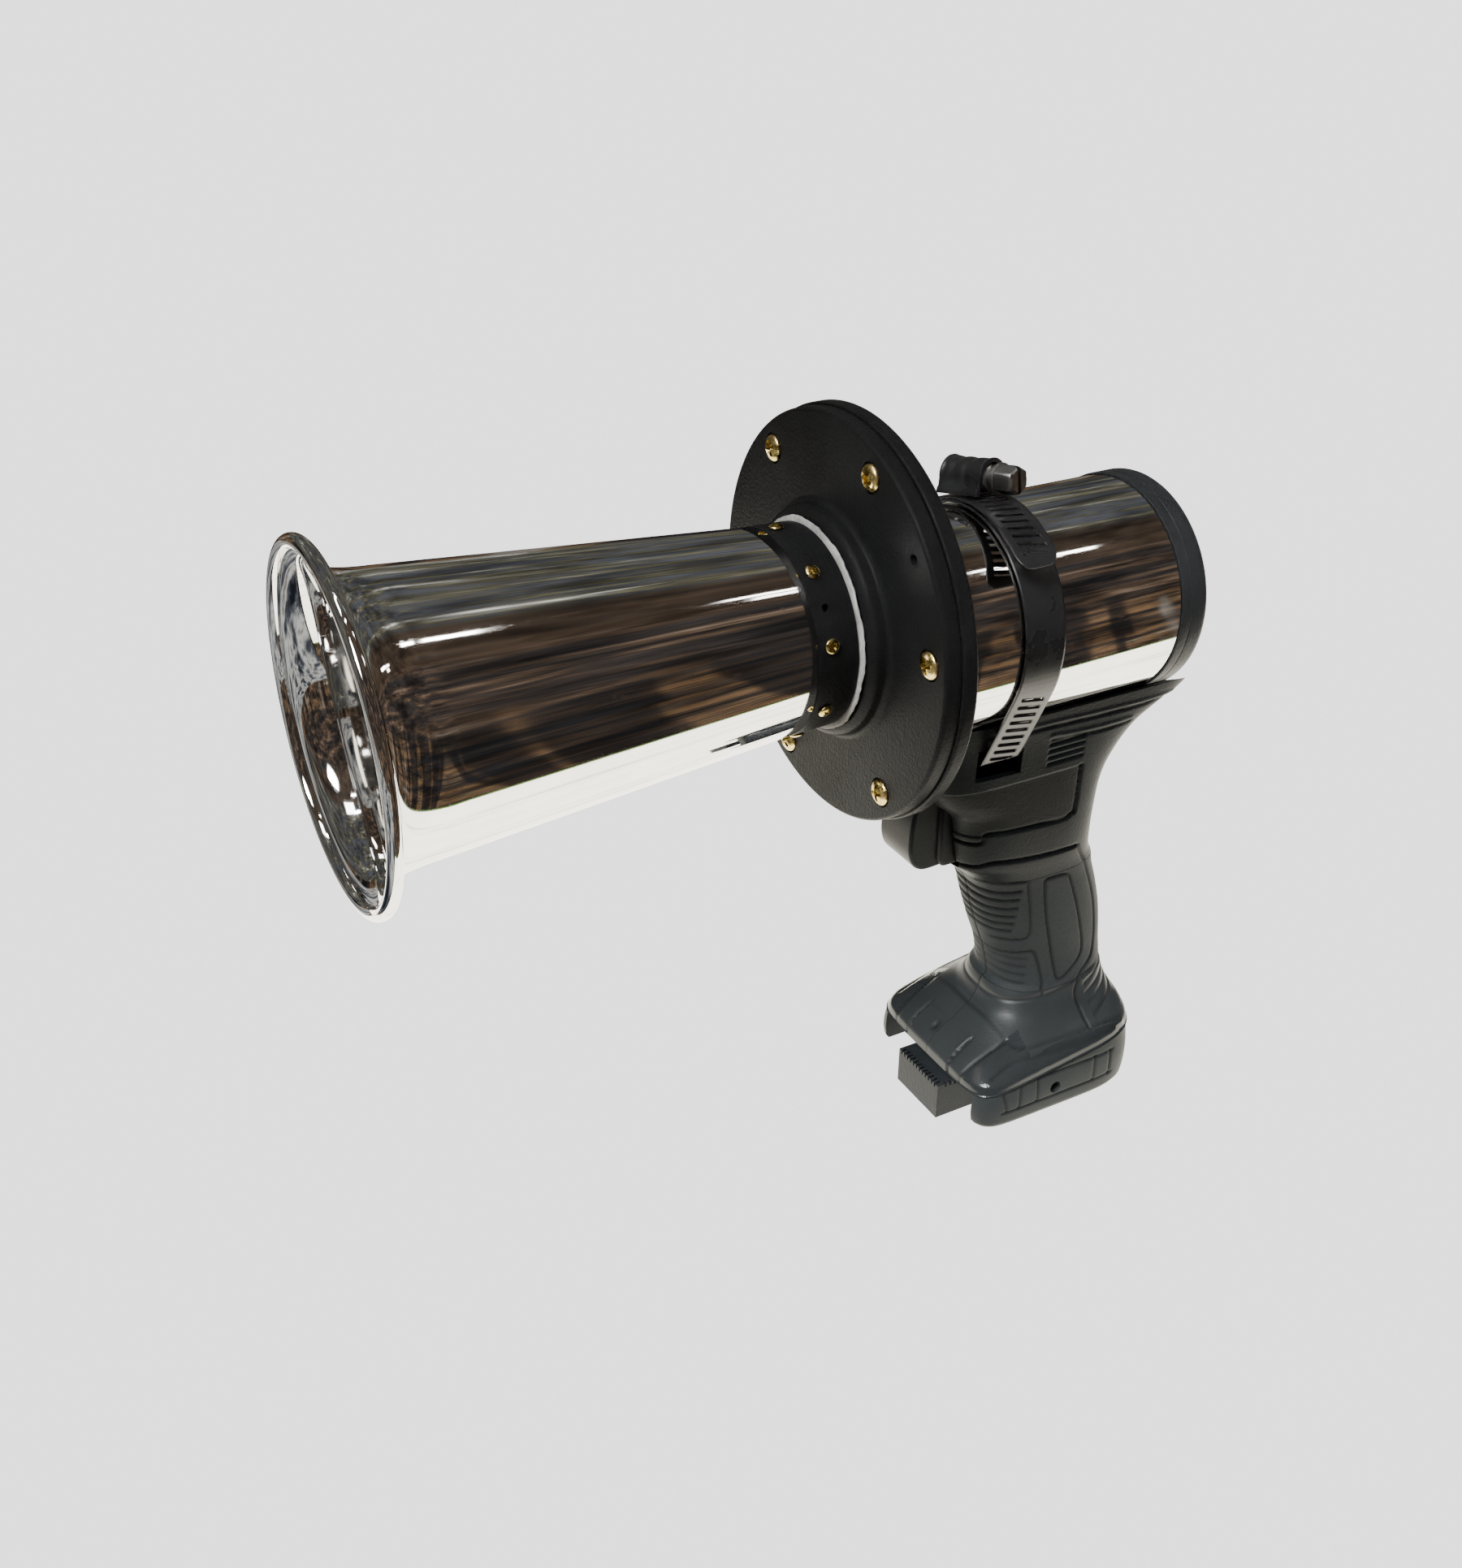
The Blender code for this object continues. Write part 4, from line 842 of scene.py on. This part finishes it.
HEAD = [(98.0, 19.2, -28.0, 23.0, 2.9), (104.0, 20.2, -35.0, 21.2, 3.3), (114.0, 21.0, -37.0, 20.0, 3.8),
        (124.0, 21.4, -39.0, 20.4, 4.0),
        (131.0, 21.6, -46.0, 22.2, 4.2), (138.0, 21.8, -49.5, 26.0, 4.4), (146.0, 22.2, -50.0, 32.8, 4.6),
        (152.0, 22.8, -50.0, 41.6, 5.0),
        (157.0, 23.6, -50.0, 49.4, 5.5), (161.0, 24.2, -49.5, 52.0, 6.0)]
SLOT_Y = BAND_Y - LEAN * 38.0
step = 0.42
body = skin_solid("body_skin", FOOT + GRIP + HEAD, 400, step, relief)
room = [(16.0, 22.0, -12.0, 31.0, 4.0), (30.0, 22.0, -12.0, 31.0, 4.0), (41.0, 14.0, -6.0, 29.0, 3.0)]
room += [(z, hw - 4.4, a + 4.4, b - 4.4, p) for z, hw, a, b, p in GRIP[1:-1]]
room += [(z, hw - 2.6, a + 2.6, b - 2.6, p) for z, hw, a, b, p in HEAD[:6]] + [(149.6, 19.0, -47.0, 30.0,
        4.4)]
hollow = skin_solid("room", room, 60, 4.0, lambda x, y, z: (np.full(x.shape, 0.3), None))
tools = [hollow, rod_mesh("can_seat", (0, -90, CAN_Z), (0, 90, CAN_Z), 35.5, 256), rod_mesh("cap_seat",
        (0, 25, CAN_Z), (0, 90, CAN_Z), 36.1, 256),
         box_mesh("channel", (-27, -60, -5), (27, 32.4, 17.6)), box_mesh("trigger_room", (-11, -60, 103.6),
                 (11, -18, 133.4)),
         box_mesh("band_room", (-40, SLOT_Y - 8.4, 141), (40, SLOT_Y + 8.4, 152.6))]
tools += [rod_mesh("well", (-8.3, y, z), (-40, y, z), 3.2, 32) for _, y, z in SHELL_SCREWS]
body = cut(body, tools)
big_left, big_right = box_mesh("left", (0.06, -90, -10), (60, 90, 200)), box_mesh("right", (-60, -90, -10),
        (-0.06, 90, 200))
shells = {}
for side_name, half_box in (("left", big_left), ("right", big_right)):
    for part_name, low_z, high_z in (("foot", -20, 45.85), ("head", 95.15, 200)):
        piece = cut(body, [half_box, box_mesh("span", (-70, -90, low_z), (70, 90, high_z))], 'INTERSECT')
        nodes = [f"handle_{side_name}"] if part_name == "head" else []
        shells[part_name, side_name] = finish_piece(f"shell_{part_name}_{side_name}", painted_shade_and_tone(piece, relief),
                                                    "shell_plastic", nodes, "body", 40,
                                                    MATS["shell_foot"] if part_name == "foot" else None)
sleeve = cut(body, [box_mesh("span", (-70, -90, 46.05), (70, 90, 94.95))], 'INTERSECT')
finish_piece("sleeve_fine", painted_shade_and_tone(sleeve, relief), "grip_rubber", ["grip_sleeve"], sharp=45)

rail_rows = [(7.0, 33.2, -31.4, 36.6, (9.0, 4.4), 0.0), (8.4, 34.2, -32.6, 37.8, (9.0, 4.4), 0.0),
             (16.0, 34.6, -33.2, 38.6, (8.0, 4.4), 0.05), (24.0, 33.8, -33.2, 38.4, (7.0, 4.2), 0.14)]
rails = skin_solid("rails", rail_rows, 440, step, panel_relief)
rails = cut(rails, [box_mesh("channel", (-27, -60, -5), (27, 32.4, 40)), rod_mesh("hole",
        (30.6, -1.6, 16.3), (40, -1.6, 16.3), 2.2, 40)])
for side_name, half_box in (("left", big_left), ("right", big_right)):
    piece = cut(rails, [half_box], 'INTERSECT')
    finish_piece(f"rail_fine_{side_name}", painted_shade_and_tone(piece, panel_relief), "shell_plastic",
                 [f"foot_rail_{side_name}"], "body", 45, MATS["shell_rail"])


# ---- trigger and terminal block ----
def moulded_plate(name, outline, half_width, radius, segments, slot, nodes, body_name):
    mesh = bpy.data.meshes.new(name)
    bm = bmesh.new()
    face = bm.faces.new([bm.verts.new(Vector((-half_width, y, z)) * MM) for y, z in outline])
    grown = bmesh.ops.extrude_face_region(bm, geom=[face])
    bmesh.ops.translate(bm, verts=[v for v in grown["geom"] if isinstance(v, bmesh.types.BMVert)],
                        vec=(2 * half_width * MM, 0, 0))
    bmesh.ops.recalc_face_normals(bm, faces=bm.faces)
    bm.to_mesh(mesh)
    bm.free()
    obj = finish_piece(name, mesh, slot, nodes, body_name, 50)
    mod = obj.modifiers.new("round", 'BEVEL')
    mod.width, mod.segments = radius * MM, segments
    mod.limit_method, mod.angle_limit = 'ANGLE', math.radians(50)
    return obj


knots = [(-34.0, 132.4), (-47.0, 132.4), (-49.6, 129.5), (-51.0, 124.0), (-51.6, 117.5), (-51.4, 112.0),
         (-49.6, 107.4), (-46.2, 105.2), (-41.5, 105.0), (-34.0, 105.6)]
blade = [tuple(point) for point in smooth_route(knots, 5)]
moulded_plate("trigger_blade", blade, 8.9, 4.4, 8, "trigger_plastic", ["trigger"], "trigger")
moulded_plate("trigger_flange", [(-28.2, 132.5), (-40.4, 132.5), (-41.4, 131.4), (-41.2, 108.2), (-39.4,
        104.9), (-28.2, 104.9)], 10.35, 1.4, 4, "trigger_plastic", [], "trigger")
block = cut(box_mesh("block", (-12.3, -36, 0), (12.3, 14, 14)),
            [box_mesh("rib", (x - 0.35, -37, 12.6), (x + 0.35, -33.6, 15)) for x in np.arange(-10.6, 10.7,
                    1.9)]
            + [box_mesh("rib", (11.3, y - 0.35, 12.7), (13, y + 0.35, 15)) for y in np.arange(-32.5, 8,
                    1.9)])
block = finish_piece("block_fine", block, "terminal_plastic", ["terminal_block"], sharp=30)

# ---- stage: camera, floor, surroundings for the chrome, lights ----
camera = bpy.data.cameras.new("camera")
camera.lens = 39.15
camera.sensor_width = 36.0
camera.clip_end = 60.0
camera_object = add_object("camera", camera)
azimuth, elevation = math.radians(61.707), math.radians(29.4045)
look = Vector((-math.sin(azimuth) * math.cos(elevation), math.cos(azimuth) * math.cos(elevation),
               -math.sin(elevation)))
camera_object.location = (0.3924, -0.3233, 0.4018)
camera_object.rotation_euler = look.to_track_quat('-Z', 'Y').to_euler()
bpy.context.scene.camera = camera_object


def emission(name, colour, strength):
    mat = bpy.data.materials.new(name)
    mat.use_nodes = True
    n = Nodes(mat.node_tree)
    mat.node_tree.nodes.remove(mat.node_tree.nodes["Principled BSDF"])
    glow = n.add("ShaderNodeEmission")
    glow.inputs["Color"].default_value = (*colour, 1.0)
    glow.inputs["Strength"].default_value = strength
    n.link(glow.outputs[0], mat.node_tree.nodes["Material Output"].inputs["Surface"])
    return mat


def glow_colour(mat):
    return next(n for n in mat.node_tree.nodes if n.type == 'EMISSION').inputs["Color"]


def stage_quad(name, centre, across, up, mat, camera_sees=False, glossy_sees=True):
    """Rectangle with half-extent vectors across and up."""
    c, a, b = Vector(centre), Vector(across), Vector(up)
    mesh = bpy.data.meshes.new(name)
    mesh.from_pydata([c - a - b, c + a - b, c + a + b, c - a + b], [], [(0, 1, 2, 3)])
    mesh.materials.append(mat)
    obj = add_object(name, mesh)
    obj.visible_camera = camera_sees
    obj.visible_glossy = glossy_sees
    obj.visible_diffuse = False
    if not camera_sees:
        obj.visible_shadow = False
    return obj


BACK_LEVEL = 2.25
paper = emission("paper", (1.0, 1.0, 1.0), BACK_LEVEL)
stage_quad("floor", (0, 0, -0.002), (30, 0, 0), (0, 30, 0), paper, True, False)
wall = bpy.data.meshes.new("backdrop")
ball = bmesh.new()
bmesh.ops.create_uvsphere(ball, u_segments=48, v_segments=24, radius=12.0)
ball.to_mesh(wall)
ball.free()
wall.materials.append(paper)
backdrop = add_object("backdrop", wall)
for flag in ("visible_glossy", "visible_diffuse", "visible_shadow", "visible_transmission"):
    setattr(backdrop, flag, False)

# The chrome's surroundings: a pale table with a thin green edge, shelving beyond it, tubes overhead.
table = emission("table_white", (1.0, 0.975, 0.915), 5.0)
t = Nodes(table.node_tree)
spot = t.add("ShaderNodeTexCoord").outputs["Object"]
worn = t.noise(t.stretch(spot, (24.0, 3.0, 1.0)), 1.0, 5.0, 0.65)
t.link(t.ramp(worn, [(0.34, (0.52, 0.50, 0.43)), (0.46, (0.93, 0.88, 0.74)), (0.7, (1.0, 0.96, 0.86))]),
       glow_colour(table))
stage_quad("table", (-0.19, 0.12, -0.02), (0.37, 0, 0), (0, 0.42, 0), table)
stage_quad("table_edge", (0.184, 0.12, -0.02), (0.004, 0, 0), (0, 0.42, 0), emission("table_green",
        (0.26, 0.50, 0.10), 0.8))
front = emission("front_floor", (1.0, 1.0, 1.0), 1.0)
t = Nodes(front.node_tree)
spot = t.add("ShaderNodeTexCoord").outputs["Object"]
things = t.noise(t.stretch(spot, (3.0, 4.0, 1.0)), 1.4, 5.0, 0.6, 0.4)
t.link(t.ramp(things, [(0.36, (0.015, 0.017, 0.022)), (0.45, (0.10, 0.11, 0.13)), (0.50,
        (0.42, 0.43, 0.42)), (0.56, (0.80, 0.81, 0.78)),
                       (0.62, (0.20, 0.17, 0.15)), (0.72, (0.70, 0.70, 0.68))]), glow_colour(front))
stage_quad("front_floor", (0.0, -1.31, -0.021), (0.9, 0, 0), (0, 1.0, 0), front)


def glint(name, obj, target, half_run, half_side, level, distance=1.3):
    """Bright card placed so that the camera sees it mirrored at the target point of obj."""
    eye, aim = camera_object.location.copy(), Vector(target) * MM
    bpy.context.view_layer.update()
    inverse = obj.matrix_world.inverted()
    ray = (inverse @ aim - inverse @ eye).normalized()
    hit, place, normal, _ = obj.ray_cast(inverse @ eye, ray)
    if not hit:
        return
    place, normal = obj.matrix_world @ place, (obj.matrix_world.to_3x3() @ normal).normalized()
    ray = (place - eye).normalized()
    out = (ray - 2 * ray.dot(normal) * normal).normalized()
    side = out.cross(Vector((0, 1, 0))).normalized()
    run = side.cross(out).normalized()
    stage_quad(name, place + out * distance, side * half_side, run * half_run, emission(name,
            (1.0, 0.97, 0.94), level))


glint("tube_near_bell", trumpet, (20.8, -205.0, 227.5), 0.038, 0.030, 26.0)
glint("tube_near_neck", trumpet, (18.2, -107.0, 219.2), 0.055, 0.018, 12.0)
glint("tube_can_front", can, (24.2, -42.0, 213.7), 0.034, 0.026, 9.0)
glint("tube_can_rear", can, (23.8, 2.0, 214.1), 0.075, 0.026, 16.0)
glint("tube_foot", shells["foot", "left"], (23.0, -25.0, 27.0), 0.08, 0.012, 60.0, 0.9)
glint("tube_foot_second", shells["foot", "left"], (26.5, -25.0, 27.0), 0.08, 0.010, 45.0, 0.9)
glint("window_corner", shells["foot", "left"], (24.0, -27.0, 26.0), 0.06, 0.05, 14.0, 0.8)

world = bpy.data.worlds.new("surroundings")
world.use_nodes = True
bpy.context.scene.world = world
w = Nodes(world.node_tree)
direction = w.add("ShaderNodeTexCoord").outputs["Generated"]
split = w.add("ShaderNodeSeparateXYZ")
w.link(direction, split.inputs[0])
height = w.math('ARCTAN2', split.outputs["Z"], split.outputs["X"])
turn = w.remap(height, -math.pi, math.pi, 0.0, 1.0)
combined = w.add("ShaderNodeCombineXYZ")
w.link(turn, combined.inputs[0])
w.link(w.math('MULTIPLY', split.outputs["Y"], 0.085), combined.inputs[1])
streaks = w.noise(combined.outputs[0], 46.0, 8.0, 0.74, 0.12)
broad = w.noise(combined.outputs[0], 13.0, 3.0, 0.55)
patch = w.noise(w.stretch(direction, (2.0, 5.0, 3.0)), 2.4, 4.0, 0.6)
low_zone = w.ramp(streaks, [(0.36, (0.020, 0.018, 0.018)), (0.45, (0.075, 0.058, 0.046)), (0.51,
        (0.15, 0.105, 0.070)),
                            (0.56, (0.34, 0.190, 0.095)), (0.60, (0.060, 0.085, 0.060)), (0.66,
                                    (0.60, 0.54, 0.44))])
mid_zone = w.ramp(streaks, [(0.38, (0.022, 0.021, 0.022)), (0.50, (0.062, 0.052, 0.048)), (0.56,
        (0.15, 0.098, 0.064)), (0.64, (0.34, 0.26, 0.20))])
high_zone = w.ramp(broad, [(0.36, (0.045, 0.036, 0.030)), (0.50, (0.115, 0.080, 0.055)), (0.60,
        (0.070, 0.072, 0.080)), (0.72, (0.22, 0.20, 0.18))])
far_zone = w.ramp(streaks, [(0.36, (0.040, 0.038, 0.040)), (0.46, (0.12, 0.13, 0.15)), (0.52,
        (0.085, 0.078, 0.062)),
                            (0.55, (0.21, 0.20, 0.12)), (0.60, (0.19, 0.19, 0.20)), (0.66,
                                    (1.1, 1.1, 1.0))])
posts = w.noise(w.stretch(direction, (0.4, 16.0, 0.5)), 1.0, 3.0, 0.55)
low_zone = w.mix(w.remap(posts, 0.50, 0.53, 0.0, 0.85), low_zone, (0.018, 0.019, 0.022))
low_zone = w.mix(w.remap(posts, 0.40, 0.36, 0.0, 0.55), low_zone, (0.42, 0.40, 0.36))
zone = w.mix(w.remap(turn, 0.50, 0.545, 0.0, 1.0), low_zone, mid_zone)
zone = w.mix(w.remap(turn, 0.64, 0.68, 0.0, 1.0), zone, high_zone)
zone = w.mix(w.remap(turn, 0.745, 0.765, 0.0, 1.0), zone, far_zone)
dim = w.remap(patch, 0.35, 0.65, 0.45, 1.35)
colour = w.mix(1.0, zone, dim, 'MULTIPLY')
background = world.node_tree.nodes["Background"]
w.link(colour, background.inputs["Color"])
background.inputs["Strength"].default_value = 0.95


def area_light(name, place, aim, size, power, mirrored=False):
    """Square lamp; only a mirrored one shows in glossy surfaces."""
    data = bpy.data.lights.new(name, 'AREA')
    data.shape = 'RECTANGLE'
    data.size = size
    data.size_y = size
    data.energy = power
    obj = add_object(name, data)
    obj.location = place
    obj.rotation_euler = (Vector(aim) - Vector(place)).to_track_quat('-Z', 'Y').to_euler()
    obj.visible_glossy = mirrored
    return obj


area_light("key", (0.55, 0.35, 1.7), (0, -0.02, 0.12), 0.7, 6.5)
area_light("fill", (1.5, -1.2, 0.55), (0, 0.0, 0.08), 1.4, 2.5)
foot_light = area_light("foot_light", (0.35, -0.75, 0.95), (0.02, -0.01, 0.03), 0.30, 0.55, True)
foot_light.data.spread = math.radians(26)
area_light("side", (1.2, 1.3, 0.75), (0, 0.03, 0.17), 0.9, 11.0)
area_light("back", (-1.4, 0.8, 1.2), (0, 0, 0.12), 1.2, 5.0)
